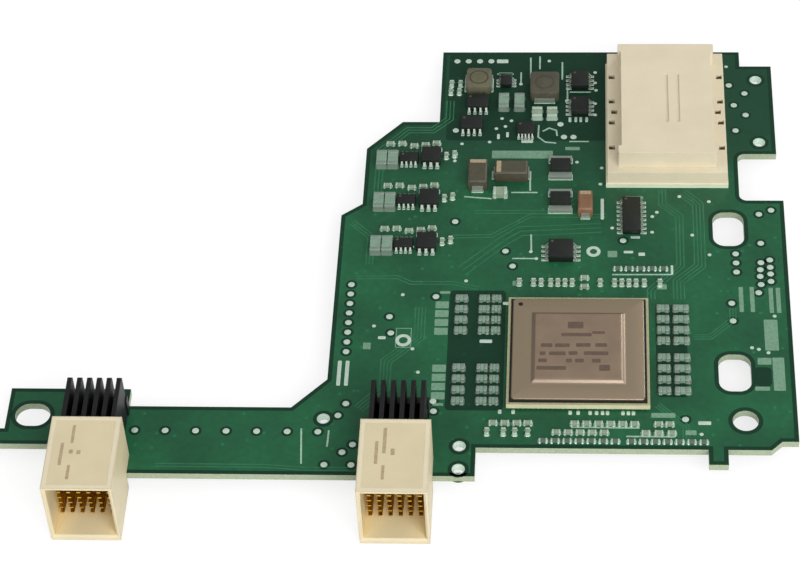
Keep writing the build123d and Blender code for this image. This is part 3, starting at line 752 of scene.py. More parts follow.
@once
def moulded_body(kind):
    """Transfer moulded compounds and pressed powders: matt and fine grained, rounded at the edges."""
    look = bpy.context.scene.card_parts
    base, roughness, size = {
        "epoxy": (look.epoxy, 0.5, 0.12),
        "tantalum": (look.tantalum, 0.5, 0.3),
        "tantalum_warm": (look.tantalum_warm, 0.48, 0.3),
        "ferrite": (look.ferrite, 0.62, 0.35),
        "pale_ferrite": (look.pale_ferrite, 0.62, 0.35),
        "core_gap": (look.core_gap, 0.5, 0.35),
        "ceramic": (look.ceramic, 0.6, 0.3),
        "pale_ceramic": (look.pale_ceramic, 0.6, 0.3),
        "resistor": (look.resistor, 0.45, 0.2),
    }[kind]
    made, tree, shader = new_material("moulded_body_" + kind, base, roughness, gloss=0.4)
    grain = pattern(tree, size, detail=3.0)
    patches = pattern(tree, size=1.6, detail=1.0, low=0.35, high=0.65)
    tone = mixed(tree, grain, base, shade(base, 0.7), share=0.6)
    paint(tree, shader, patches, tone, shade(base, 1.3), share=0.4)
    relief(tree, shader, noise(tree, size, detail=3.0), depth=0.02, edge=0.06)
    return made


def dress(material, *nodes):
    """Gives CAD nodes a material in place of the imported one."""
    for node in nodes:
        slots = NODES[node].material_slots
        for slot in slots:
            slot.material = material
        if not slots:
            NODES[node].data.materials.append(material)


# Places on the board, in millimetres from the round mounting hole

def line(first, step, count):
    """Evenly spaced places from the first one."""
    return [(first[0] + step[0] * i, first[1] + step[1] * i) for i in range(count)]


TEST_PADS = (
    line((-61.3, 104.9), (2.58, 0.0), 4)
    + line((-81.4, 17.5), (0.0, 2.67), 8)
    + line((-85.8, -3.8), (-6.2, 0.0), 7)
    + [(-80.6, 3.6), (-82.0, 0.5), (-80.6, -9.0), (-84.0, -12.2), (-78.6, -7.0), (-78.6, -12.2)]
    + [(-62.9, 4.4), (-62.7, 1.8), (-72.9, 27.2), (-72.4, 22.7), (-63.4, 32.9)]
    + [(-49.1, 46.0), (-47.5, 41.7), (-24.1, 49.2), (-12.0, 0.2), (-60.1, 54.6)]
    + [(4.96, 57.1), (7.6, 58.3), (5.0, 48.6), (-1.7, 31.5), (-1.6, 26.6)]
    + [(4.8, 43.0), (4.6, 41.0), (4.5, 39.1), (4.6, 36.8), (4.0, 34.5)]
    + [(6.7, 43.8), (6.7, 41.7), (6.7, 39.8), (6.7, 37.7)]
    + line((-0.4, 40.3), (0.0, 2.6), 3)
    + [(-0.1, 97.0), (3.3, 94.4), (0.8, 90.6), (3.3, 87.5), (0.9, 82.6)]
    + [(-37.7, 84.5), (-36.9, 80.5), (-34.8, 80.5), (-60.9, 82.5)]
)
SMALL_PADS = [
    (-26.4, 52.9), (-16.8, 57.6), (-17.8, 56.3), (-17.9, 51.7), (-43.7, 45.9), (-42.5, 43.9),
    (-34.0, 72.7), (-40.4, 105.0), (-46.7, 97.4), (-50.7, 86.3), (-48.6, 85.6), (-51.9, 83.1),
    (-49.9, 83.8), (-59.4, 78.3), (-53.3, 78.9), (-61.1, 61.8), (-62.8, 61.4), (-60.6, 75.0),
    (-62.8, 74.0), (-60.8, 73.0), (-30.0, 101.2), (-30.0, 97.8), (-29.8, 95.4), (-30.0, 91.1),
    (-30.0, 87.5), (-5.9, 45.2), (7.0, 28.0), (2.0, 19.3), (3.4, 18.9), (5.3, 18.0), (-0.5, 103.1),
    (-76.0, 24.6), (-67.7, 18.4), (-28.6, 70.9), (-28.9, 66.0), (-11.9, 62.3), (-5.6, 60.8),
    (-57.2, 37.4), (-69.0, 47.2), (-70.4, 33.4), (-66.3, 12.1), (-9.4, 50.9), (-8.9, -3.6),
]
PAD_BARS = {
    (1.3, 0.6): [(-51.0, 104.9)],
    (0.7, 0.45): [(-20.2, 45.3)],
    (1.0, 0.35): [(-23.0, 45.9), (-21.5, 50.2)],
    (1.3, 0.45): [(-52.6, 20.6), (-45.0, 79.1), (-8.2, -0.7)],
    (0.8, 0.4): [(-48.5, 31.1), (-74.2, 21.4), (-35.9, 92.0)],
    (0.4, 3.35): [(-82.5, 11.7), (-80.9, 11.7)],
    (0.3, 0.8): [(-35.6, 86.0), (-34.3, 86.0), (-33.2, 86.0), (-31.9, 86.0), (-51.4, 80.6), (-49.4, 81.2)],
    (0.35, 3.1): [(-28.5, 58.5)],
    (0.25, 1.35): [(-13.9, 40.8)],
    (0.35, 0.55): [(-49.3, 1.8), (-46.6, 1.8), (-35.1, 1.7), (-33.5, 1.7), (-31.1, 1.7), (-29.8, 1.7),
                   (-28.6, 1.7), (-27.6, 1.7), (-24.5, 1.7), (-23.4, 1.7), (-22.4, 1.7)],
}
FAINT_FIELDS = {
    (6.7, 1.2): [(-46.0, 75.0)],
    (1.4, 0.95): line((-62.0, 30.6), (0.0, -2.45), 4) + line((-62.0, 13.2), (0.0, -2.45), 4),
    (1.1, 0.35): [(-61.5, 34.1), (-61.9, 3.6)],
    (1.0, 0.7): [(-46.4, 36.8), (-16.1, 36.0)],
    (1.0, 0.9): [(-26.4, 45.3)],
    (1.9, 0.5): [(-21.6, 61.9)],
    (2.4, 0.6): [(-16.4, 1.2)],
    (1.1, 0.6): [(-11.0, -3.2)],
    (0.8, 0.9): [(-77.2, 19.1)],
    (0.45, 3.5): [(0.3, 32.6), (2.6, 32.6), (6.5, 32.4), (8.0, 32.4)],
    (1.4, 4.2): [(6.1, 22.8)],
    (1.4, 0.9): [(4.4, 15.7)],
    (1.5, 0.5): [(3.7, 8.4)],
    (1.2, 4.4): [(7.2, 12.3)],
    (1.6, 0.5): [(-50.2, 100.7), (-35.0, 76.9)],
}
CLEAR_FIELDS = {
    (5.9, 16.3): [(-54.6, 18.4)],
    (3.2, 12.4): [(-14.4, 18.4)],
    # Partly painted shadow: this large field reaches up to the board connector, darkening the board where the
    # connector's shadow falls.
    (18.0, 13.9): [(-45.0, 93.3)],
    (1.7, 2.5): [(4.0, 11.6)],
}
RINGS = {1.3: [(-69.7, 20.7)], 1.15: [(-30.4, 46.0)]}
PRINTED_FRAMES = {(1.55, 2.6): [(-69.7, 21.4)]}
PRINTED_LINES = [
    [(-44.6, 106.1), (-44.5, 99.3)],
    [(-42.5, 106.5), (-42.5, 102.3)],
    [(-37.4, 104.6), (-37.4, 98.9)],
    [(-52.1, 100.7), (-48.4, 100.7)],
    [(-46.7, 101.2), (-46.7, 97.4)],
    [(-35.7, 94.8), (-31.0, 94.8)],
    [(-36.2, 96.7), (-36.2, 92.2)],
    [(-44.2, 68.8), (-44.1, 63.9)],
    [(-48.2, 63.4), (-42.5, 63.4)],
    [(-43.7, 50.9), (-43.6, 45.9)],
    [(-47.6, 43.9), (-42.2, 43.9)],
    [(-26.5, 39.4), (-14.0, 39.5)],
    [(-89.2, -3.0), (-88.6, -12.0)],
    [(-83.6, -3.4), (-83.7, -7.6)],
    [(-58.4, 62.1), (-52.4, 61.5)],
    [(-35.7, 79.1), (-31.4, 79.1)],
    [(-34.9, -2.05), (-21.2, -2.1)],
    [(-23.9, -4.3), (-14.2, -4.3)],
]
CURVED_MARKS = [
    [(-42.5, 84.2), (-42.6, 80.5), (-41.0, 78.9), (-38.6, 78.6)],
    [(-41.6, 82.3), (-40.2, 83.3), (-38.6, 82.6), (-38.4, 80.8)],
]
LID_MARKS = {
    (1.6, 0.9): [(-34.1, 22.5)],
    (3.1, 0.45): [(-33.9, 19.9)],
    (1.3, 0.35): [(-29.4, 20.5)],
    (1.2, 0.5): [(-40.0, 17.0), (-28.9, 17.1)],
    (1.5, 0.5): [(-36.8, 17.0), (-32.5, 17.1)],
    (1.7, 0.5): [(-37.8, 14.8)],
    (2.5, 0.5): [(-29.9, 14.9)],
    (0.9, 0.5): [(-34.6, 14.9), (-40.8, 12.9), (-33.3, 12.9), (-29.9, 12.9)],
    (0.6, 0.5): [(-40.8, 14.8), (-35.4, 12.9)],
    (3.0, 0.5): [(-39.0, 10.9)],
    (1.1, 0.8): [(-28.2, 11.0)],
}
HEADER_MARKS = {
    (0.3, 2.25): [(-132.5, -14.6)],
    (0.33, 2.8): [(-134.3, -19.6), (-72.6, -18.5)],
    (0.4, 0.5): [(-132.4, -19.0), (-130.9, -19.1)],
    (0.3, 1.75): [(-132.4, -24.1), (-71.1, -23.4)],
    (0.35, 3.2): [(-71.1, -15.5)],
    (0.4, 0.8): [(-69.4, -18.3)],
}
TRACE_BUNDLES = [
    ([(-58.0, 40.5), (-49.4, 49.2), (-46.0, 51.9), (-38.6, 52.3), (-28.8, 53.0)], 3, 1.3),
    ([(-60.4, 50.2), (-52.1, 50.5), (-44.0, 56.5), (-27.5, 56.5)], 2, 0.8),
    ([(-80.4, 38.3), (-71.7, 38.4), (-68.9, 36.8), (-60.0, 36.8), (-54.5, 35.4)], 2, 0.8),
    ([(-118.0, -12.6), (-96.0, -12.6), (-88.0, -13.2), (-79.0, -13.2)], 2, 0.7),
    ([(-78.0, 2.2), (-73.0, 8.0), (-73.0, 15.0), (-66.5, 21.5), (-66.5, 30.0)], 4, 0.7),
    ([(-12.6, 32.5), (-12.6, 37.5), (-8.0, 42.1), (-8.0, 60.0), (-11.3, 63.5)], 4, 0.75),
    ([(-18.4, 32.5), (-18.4, 35.0), (-12.1, 42.1), (-12.1, 56.5), (-15.6, 60.0), (-15.6, 64.6)], 3, 0.75),
    ([(-17.6, 4.0), (-12.0, -1.5), (-12.0, -5.8)], 3, 0.6),
    ([(-9.8, 22.2), (-6.4, 22.2), (-1.6, 27.0), (-1.6, 30.2)], 3, 0.6),
    ([(-33.0, 62.5), (-38.0, 57.6), (-56.0, 57.6)], 2, 0.8),
    ([(-62.4, 92.0), (-62.4, 86.2), (-66.0, 82.6), (-71.5, 82.6), (-77.3, 76.0), (-77.3, 60.0)], 3, 0.8),
    ([(-82.5, 54.5), (-78.0, 50.0), (-78.0, 42.0)], 3, 0.7),
]
PLATED_HOLES = [(5.9, 78.9), (5.9, 98.7), (-57.2, -13.0), (-57.2, -7.2), (-84.9, -0.4)]
HOLE_RADIUS = 1.2
TEST_PAD_RADIUS = 0.7
SMALL_PAD_RADIUS = 0.42

# Levels of a plain box, which keeps its full outline from the bottom to the top
STRAIGHT = [(0, 0, 0), (0, 1, 0)]
MARK_HEIGHT = 0.01 * MM


def pad_levels(rounding):
    """Levels of a tinned pad: upright for six tenths of its height, then drawn in by the rounding."""
    return [(0, 0, 0), (0, 0.6, 0), (rounding, 1, 0)]


def flat_boxes(places, height, base, corner, levels=STRAIGHT):
    """Stacks of low boxes, one array for each half size in a table of places."""
    stacks = []
    for halves, centres in places.items():
        half = np.array(halves) * MM
        stacks.append(stacked_outlines(np.array(centres) * MM, half, base, height, corner, levels))
    return stacks


class CARD_OT_board(bpy.types.Operator):
    """Lacquer the board, darker along its edges and in the fields that hold no copper, one of them partly a
    painted shadow beside the board connector
    """

    bl_idname = "card.board"
    bl_label = "Finish the board"

    def execute(self, context):
        look = context.scene.card_board
        dress(solder_mask(), "circuit_board")
        dress(plated_tin(), "left_header_tails", "right_header_tails")
        smallest = 2 * MM
        lift = 0.012 * MM
        corner = 0.8 * MM
        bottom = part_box("circuit_board")[0].z
        for name, height in (("bare_margin", BOARD_TOP), ("bare_margin_below", bottom)):
            points, faces = border_strips("circuit_board", height, look.margin, lift, smallest)
            mesh_piece(name, points, faces, bare_mask())
        # The clear fields, one of them partly painted shadow beside the board connector.
        fields = flat_boxes(CLEAR_FIELDS, 0.8 * lift, BOARD_TOP, corner)
        new_piece("bare_fields", fields, bare_mask())
        return {"FINISHED"}


class CARD_OT_traces(bpy.types.Operator):
    """Lay the copper traces that lift the lacquer"""

    bl_idname = "card.traces"
    bl_label = "Lay the traces"

    def execute(self, context):
        look = context.scene.card_board
        half = look.trace_width / 2
        crest = 0.7 * half
        high = look.trace_height
        stacks = []
        for path, count, pitch in TRACE_BUNDLES:
            for index in range(count):
                aside = (index - (count - 1) / 2) * pitch * MM
                profile = [(aside - half, 0), (aside - crest, high), (aside + crest, high),
                           (aside + half, 0)]
                stacks.append(carried_profile([np.array(path) * MM], profile, BOARD_TOP))
        new_piece("covered_traces", stacks, copper_trace())
        return {"FINISHED"}


class CARD_OT_pads(bpy.types.Operator):
    """Add plated test pads, bars, rings and plated holes on the board"""

    bl_idname = "card.pads"
    bl_label = "Add plated pads"

    def execute(self, context):
        look = context.scene.card_board
        high = look.pad_height
        levels = pad_levels(0.12 * MM)
        for name, places, radius, turns in (
            ("test_pads", TEST_PADS, TEST_PAD_RADIUS * MM, 3),
            ("small_pads", SMALL_PADS, SMALL_PAD_RADIUS * MM, 2),
        ):
            dots = stacked_outlines(
                np.array(places) * MM, (radius, radius), BOARD_TOP, high, radius, levels, turns)
            new_piece(name, dots, plated_tin())
        self.clearances(look)
        corner = 0.2 * MM
        bars = flat_boxes(PAD_BARS, 0.9 * high, BOARD_TOP, corner, levels)
        new_piece("pad_bars", bars, plated_tin())
        wide = 0.75 * MM
        rings = [annuli(np.array(places) * MM, radius * MM, wide, high, BOARD_TOP)
                 for radius, places in RINGS.items()]
        new_piece("ring_pads", rings, plated_tin(), looped=True)
        self.plated_holes(high)
        return {"FINISHED"}

    def clearances(self, look):
        """A dark disc without copper round each test pad; neighbours differ in height by a micrometre."""
        places = np.array(TEST_PADS) * MM
        lowest = 0.014
        step = 0.001
        heights = (lowest + step * (np.arange(len(places)) % 5)) * MM
        half = (look.clearance, look.clearance)
        discs = stacked_outlines(places, half, BOARD_TOP, heights, look.clearance, STRAIGHT, 4)
        new_piece("pad_clearances", discs, bare_mask())

    def plated_holes(self, high):
        """The tinned wall of each locating hole, and its narrow rim on both faces of the board."""
        holes = np.array(PLATED_HOLES) * MM
        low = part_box("circuit_board")[0].z - high
        wall = 0.05 * MM
        rim = 0.12 * MM
        radius = HOLE_RADIUS * MM
        sides = 24
        thick = BOARD_TOP + high - low
        barrels = [annuli(holes, radius - wall / 2, wall, thick, low, sides),
                   annuli(holes, radius + rim / 2, rim, high, BOARD_TOP, sides),
                   annuli(holes, radius + rim / 2, rim, high, low, sides)]
        new_piece("plated_holes", barrels, plated_tin(), looped=True)


class CARD_OT_print(bpy.types.Operator):
    """Print the plain lines, frames and fields on the lacquer"""

    bl_idname = "card.print"
    bl_label = "Print the marks"

    def execute(self, context):
        look = context.scene.card_board
        high = look.ink_height
        half = look.ink_width / 2
        profile = [(-half, 0), (-half, high), (half, high), (half, 0)]
        lines = [carried_profile(np.array(paths) * MM, profile, BOARD_TOP)
                 for paths in (PRINTED_LINES, CURVED_MARKS)]
        new_piece("printed_lines", lines, screen_ink("line"))
        wide = 0.2 * MM
        frames = [framed(np.array(centres) * MM, np.array(halves) * MM, wide, high, BOARD_TOP)
                  for halves, centres in PRINTED_FRAMES.items()]
        new_piece("printed_frames", frames, screen_ink("field"), looped=True)
        corner = 0.15 * MM
        fields = flat_boxes(FAINT_FIELDS, high, BOARD_TOP, corner)
        new_piece("printed_fields", fields, screen_ink("field"))
        return {"FINISHED"}


class CARD_OT_controller(bpy.types.Operator):
    """Build the controller's stamped lid and its solder balls"""

    bl_idname = "card.controller"
    bl_label = "Build the controller"

    def execute(self, context):
        low, high = (np.array(corner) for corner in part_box("controller_lid"))
        centre = (low[:2] + high[:2]) / 2
        half = (high[:2] - low[:2]) / 2
        step = 0.65 * MM
        brim = high[2] - low[2] - step
        self.lid(centre, half, low[2], brim, step)
        self.glue_and_shadow_line(centre, half, low[2])
        corner = 0.2 * MM
        marks = flat_boxes(LID_MARKS, MARK_HEIGHT, high[2], corner)
        new_piece("lid_marks", marks, screen_ink("lid"))
        self.corner_mark(centre, half, low[2] + brim)
        self.solder_balls()
        dress(package_laminate(), "controller_substrate")
        return {"FINISHED"}

    def lid(self, centre, half, bottom, brim, step):
        """The stamped lid: a brim with a rounded edge, a drawn slope and a raised middle.

        The slope rises by the step times three squares less two cubes of the share of its run.
        """
        corner = 0.7 * MM
        undercut = 0.05 * MM
        chamfer = 0.1 * MM
        edge = 0.25 * MM
        foot = 3.85 * MM
        run = 1.0 * MM
        flat = 0.3 * MM
        top = 0.6 * MM
        turns = np.linspace(0, math.pi / 2, 4)
        levels = [(undercut, 0, 0), (0, 0, chamfer)]
        levels += [(edge * (1 - math.cos(a)), 0, brim - edge * (1 - math.sin(a))) for a in turns]
        levels.append((foot - flat, 0, brim))
        for part in np.linspace(0, 1, 9):
            levels.append((foot + run * part, 0, brim + step * (3 * part ** 2 - 2 * part ** 3)))
        levels.append((foot + run + top, 0, brim + step))
        shell = stacked_outlines(centre, half, bottom, 0, corner, levels, 5)
        piece = new_piece("stamped_lid", shell, nickel_plating())
        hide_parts("controller_lid")

    def glue_and_shadow_line(self, centre, half, base):
        """A dark bead round the lid's foot: partly the glue that shows there, partly a painted shadow line
        under the brim.
        """
        wide = 0.5 * MM
        high = 0.12 * MM
        under = 0.1 * MM
        bead = framed([centre], [half + wide / 2 - under], wide, high, base)
        new_piece("lid_adhesive", bead, moulded_body("epoxy"), looped=True)

    def corner_mark(self, centre, half, base):
        """A dark round mark on the lid's brim, at the corner of the first ball."""
        inset = 1.6 * MM
        radius = 0.5 * MM
        high = 0.02 * MM
        rounding = 0.1 * MM
        place = centre + np.array([inset - half[0], half[1] - inset])
        levels = STRAIGHT + [(rounding, 1, 0)]
        mark = stacked_outlines(place, (radius, radius), base, high, radius, levels, 3)
        new_piece("corner_mark", mark, moulded_body("epoxy"))

    def solder_balls(self):
        """Two rows of squat balls round the package's rim, at the package's own pitch."""
        low, high = (np.array(corner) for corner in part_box("controller_solder_balls"))
        pitch = 1.0 * MM
        radius = 0.31 * MM
        middle = (low[:2] + high[:2]) / 2
        count = int(round((high[0] - low[0]) / pitch)) + 1
        across = (np.arange(count) - (count - 1) / 2) * pitch
        grid = np.stack(np.meshgrid(across, across), axis=-1).reshape(-1, 2)
        rim = np.abs(grid).max(axis=1) > across[-3]
        spheres = balls(middle + grid[rim], low[2], high[2] - low[2], radius, sides=8, rows=5)
        piece = new_piece("solder_balls", spheres, plated_tin())
        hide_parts("controller_solder_balls")


class CARD_OT_connectors(bpy.types.Operator):
    """Finish the moulded connectors and their wafers, and form the gold contact beams"""

    bl_idname = "card.connectors"
    bl_label = "Finish the connectors"

    def execute(self, context):
        look = context.scene.card_connectors
        dress(moulded_polymer("cover"), "mezzanine_base", "mezzanine_cover")
        dress(wafer_polymer(), "mezzanine_contact_wafers")
        for side in ("left", "right"):
            dress(moulded_polymer("header"), side + "_header_shroud")
            dress(wafer_polymer(), side + "_header_wafers", side + "_header_organiser")
            self.beams(side, look.beam_thickness)
            self.header_rim_highlight(side)
        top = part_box("left_header_shroud")[1].z
        corner = 0.12 * MM
        marks = flat_boxes(HEADER_MARKS, MARK_HEIGHT, top, corner)
        new_piece("header_marks", marks, screen_ink("header"))
        self.pocket_contacts()
        return {"FINISHED"}

    def beams(self, side, thickness):
        """A formed gold beam in place of each straight blade of a header."""
        dip = 0.22 * MM
        low, high = solids_of(side + "_header_blades")
        middle = (low + high) / 2
        tips = np.column_stack([middle[:, 0], low[:, 1], middle[:, 2]])
        ends = np.column_stack([middle[:, 0], high[:, 1], middle[:, 2]])
        width = (high - low)[:, 0].mean()
        rings = contact_beams(tips, ends, width, thickness, dip)
        piece = new_piece(side + "_contact_beams", rings, gold_plating())
        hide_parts(side + "_header_blades")

    def header_rim_highlight(self, side):
        """A painted highlight: the lighter border round a header's top, where its rounded edges catch the
        light, a shade lighter than the textured middle.
        """
        low, high = (np.array(corner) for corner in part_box(side + "_header_shroud"))
        wide = 0.9 * MM
        inset = 0.15 * MM
        centre = (low + high)[:2] / 2
        half = (high - low)[:2] / 2 - wide / 2 - inset
        rim = framed([centre], [half], wide, MARK_HEIGHT, high[2])
        new_piece(side + "_header_rim_highlight", rim, moulded_polymer("rim"), looped=True)

    def pocket_contacts(self):
        """Dark contact ends that fill the pockets along both flanges of the base, nearly to the top."""
        low, high = (np.array(corner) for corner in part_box("mezzanine_base"))
        offsets = np.array([-11.1, -3.3, 0.0, 3.3, 11.1]) * MM
        inset = np.array([1.0, 1.0, 1.55, 1.0, 1.0]) * MM
        half = 0.6 * MM
        corner = 0.25 * MM
        bevel = 0.1 * MM
        depth = 2.2 * MM
        tall = 1.8 * MM
        middle = (low + high) / 2
        reach = (high - low)[0] / 2 - inset
        rows = [np.column_stack([middle[0] + side * reach, middle[1] + offsets]) for side in (1, -1)]
        levels = [(0, 0, 0), (0, 1, -bevel), (bevel, 1, 0)]
        ends = stacked_outlines(
            np.concatenate(rows), (half, half), high[2] - depth, tall, corner, levels)
        new_piece("pocket_contacts", ends, bare_bronze())


PACKAGE_NODES = (
    "eight_lead_ic_bodies", "driver_ic_body", "flash_memory_body", "switch_ic_body", "monitor_ic_body",
    "regulator_ic_body", "power_transistor_bodies", "polymer_capacitor_bodies",
)
MARKED_NODES = PACKAGE_NODES[:5]
PADDED_NODES = (
    "eight_lead_ic_leads", "driver_ic_leads", "flash_memory_leads", "switch_ic_leads", "monitor_ic_leads",
    "regulator_ic_leads", "power_transistor_leads", "power_inductor_clips", "tantalum_capacitor_terminals",
    "polymer_capacitor_terminals",
)


class CARD_OT_packages(bpy.types.Operator):
    """Build the moulded packages with drafted sides, and finish their leads and pads"""

    bl_idname = "card.packages"
    bl_label = "Build the packages"

    def execute(self, context):
        draft = 0.1 * MM
        rim = 0.1 * MM
        corner = 0.15 * MM
        levels = [(draft, 0, 0), (0, 0.45, 0), (0, 0.55, 0), (draft, 1, -rim),
                  (draft + 0.3 * rim, 1, -0.3 * rim), (draft + rim, 1, 0)]
        for node in PACKAGE_NODES:
            shells = shaped_boxes(*solids_of(node), corner, levels)
            piece = new_piece("moulded_" + node, shells, moulded_body("epoxy"))
            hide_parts(node)
        self.first_pin_marks()
        self.lead_pads(context.scene.card_board)
        for node in PADDED_NODES:
            dress(tinned_lead("lead"), node)
        return {"FINISHED"}

    def first_pin_marks(self):
        """A small round mark, moulded smooth, beside the first lead of each package."""
        radius = 0.32 * MM
        inset = 0.75 * MM
        proud = 0.015 * MM
        bevel = 0.05 * MM
        levels = [(0, 0, 0), (bevel, 1, 0)]
        stacks = []
        for node in MARKED_NODES:
            low, high = solids_of(node)
            places = np.column_stack([low[:, 0] + inset, high[:, 1] - inset])
            stacks.append(stacked_outlines(places, (radius, radius), high[:, 2], proud, radius, levels))
        new_piece("first_pin_marks", stacks, moulded_body("ferrite"))

    def lead_pads(self, look):
        """Tinned copper that shows round the foot of every lead, clip and terminal strip."""
        levels = pad_levels(0.08 * MM)
        corner = 0.12 * MM
        stacks = []
        for node in PADDED_NODES:
            centres, halves = plan(*solids_of(node))
            stacks.append(stacked_outlines(
                centres, halves + look.pad_reach, BOARD_TOP, look.pad_height, corner, levels))
        new_piece("lead_pads", stacks, plated_tin())


class CARD_OT_power_parts(bpy.types.Operator):
    """Build the pressed inductors and the moulded tantalum capacitors"""

    bl_idname = "card.power_parts"
    bl_label = "Build the power parts"

    def execute(self, context):
        self.inductors()
        self.tantalum_capacitors()
        return {"FINISHED"}

    def bodies(self, node, name, tones, slot, corner, levels, turns):
        """One piece for each solid of a node, in the first tone, or the second for the one farthest right."""
        low, high = solids_of(node)
        rightmost = np.argmax(plan(low, high)[0][:, 0])
        for index in range(len(low)):
            one = slice(index, index + 1)
            body = shaped_boxes(low[one], high[one], corner, levels, turns)
            surface = moulded_body(tones[int(index == rightmost)])
            piece = new_piece("%s_%d" % (name, index + 1), body, surface)
            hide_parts(node)
        return low, high

    def inductors(self):
        """Square bodies with rounded corners, and the round core in its gap on top."""
        corner = 0.8 * MM
        undercut = 0.1 * MM
        foot = 0.15 * MM
        rim = 0.25 * MM
        levels = [(undercut, 0, 0), (0, 0, foot), (0, 1, -rim), (0.3 * rim, 1, -0.3 * rim), (rim, 1, 0)]
        tones = ("pale_ferrite", "ferrite")
        low, high = self.bodies(
            "power_inductor_bodies", "pressed_inductor", tones, "ferrite", corner, levels, 3)
        centres, halves = plan(low, high)
        radius = 0.72 * halves.min()
        wide = 0.35 * MM
        proud = 0.02 * MM
        gaps = [annuli(centre, radius, wide, proud, top, 32) for centre, top in zip(centres, high[:, 2])]
        new_piece("inductor_gaps", gaps, moulded_body("core_gap"), looped=True)

    def tantalum_capacitors(self):
        """Moulded cases with drafted sides and a chamfer, and a pale polarity bar at one end."""
        draft = 0.15 * MM
        rim = 0.3 * MM
        corner = 0.2 * MM
        levels = [(draft, 0, 0), (0, 0.4, 0), (0, 0.5, 0), (draft, 1, -rim), (draft + rim, 1, 0)]
        tones = ("tantalum", "tantalum_warm")
        low, high = self.bodies(
            "tantalum_capacitor_bodies", "tantalum_case", tones, "tantalum_moulding", corner, levels, 2)
        self.polarity_bars(low, high, draft + rim)

    def polarity_bars(self, low, high, inset):
        """A bar across the left end of each case, or across the back end of one that lies along y."""
        bar = 0.5 * MM
        proud = 0.015 * MM
        corner = 0.1 * MM
        centres, halves = plan(low, high)
        span = halves - inset
        along_y = (halves[:, 1] > halves[:, 0])[:, None]
        way = np.where(along_y, [0.0, 1.0], [-1.0, 0.0])
        reach = np.abs(span * way).sum(axis=1, keepdims=True) - bar
        bar_halves = np.where(way == 0, span, bar)
        bars = stacked_outlines(centres + way * reach, bar_halves, high[:, 2], proud, corner, STRAIGHT)
        new_piece("polarity_bars", bars, screen_ink("polarity"))


BANK_NODES = ("bank_capacitor_bodies", "large_capacitor_bodies")


class CARD_OT_chips(bpy.types.Operator):
    """Build the chip capacitors' and resistors' bodies, wrapped terminals and solder"""

    bl_idname = "card.chips"
    bl_label = "Build the chip parts"

    def execute(self, context):
        reach = context.scene.card_parts.fillet_reach
        for node in NODES:
            if node == "resistor_bodies":
                self.chips(node, "resistor", "resistor_film", reach)
            elif node.endswith("capacitor_bodies") and not node.startswith(("tantalum", "polymer")):
                kind = "ceramic" if node in BANK_NODES else "pale_ceramic"
                self.chips(node, kind, "capacitor_ceramic", reach)
        return {"FINISHED"}

    def chips(self, node, kind, slot, reach):
        """The bodies, wrapped terminals and solder of one kind of chip part.

        A body stands back from its terminals by the inset. The solder spreads out by the reach and
        climbs three quarters of the terminal's height.
        """
        rim = 0.08 * MM
        inset = 0.03 * MM
        below = 0.02 * MM
        film = 0.03 * MM
        overlap = 0.02 * MM
        body_corner = 0.06 * MM
        end_corner = 0.1 * MM
        body_levels = [(inset, 0, 0), (inset, 1, -rim), (inset + 0.3 * rim, 1, -0.35 * rim),
                       (inset + rim, 1, -below)]
        end_levels = [(0, 0, 0), (0, 1, -rim), (0.3 * rim, 1, -0.3 * rim), (rim, 1, 0)]
        solder_levels = [(-reach, 0, 0), (-reach, 0, film), (-0.5 * reach, 0.22, 0),
                         (-0.15 * reach, 0.5, 0), (overlap, 0.75, 0)]
        plating = tinned_lead("bank" if node in BANK_NODES else "chip")
        bodies = shaped_boxes(*solids_of(node), body_corner, body_levels, 1)
        piece = new_piece("fired_" + node, bodies, moulded_body(kind))
        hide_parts(node)
        ends = node.replace("_bodies", "_terminals")
        low, high = solids_of(ends)
        caps = shaped_boxes(low, high, end_corner, end_levels, 1)
        piece = new_piece("wrapped_" + ends, caps, plating)
        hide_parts(ends)
        solder = shaped_boxes(low, high, end_corner, solder_levels, 1)
        new_piece("solder_under_" + ends, solder, plating)


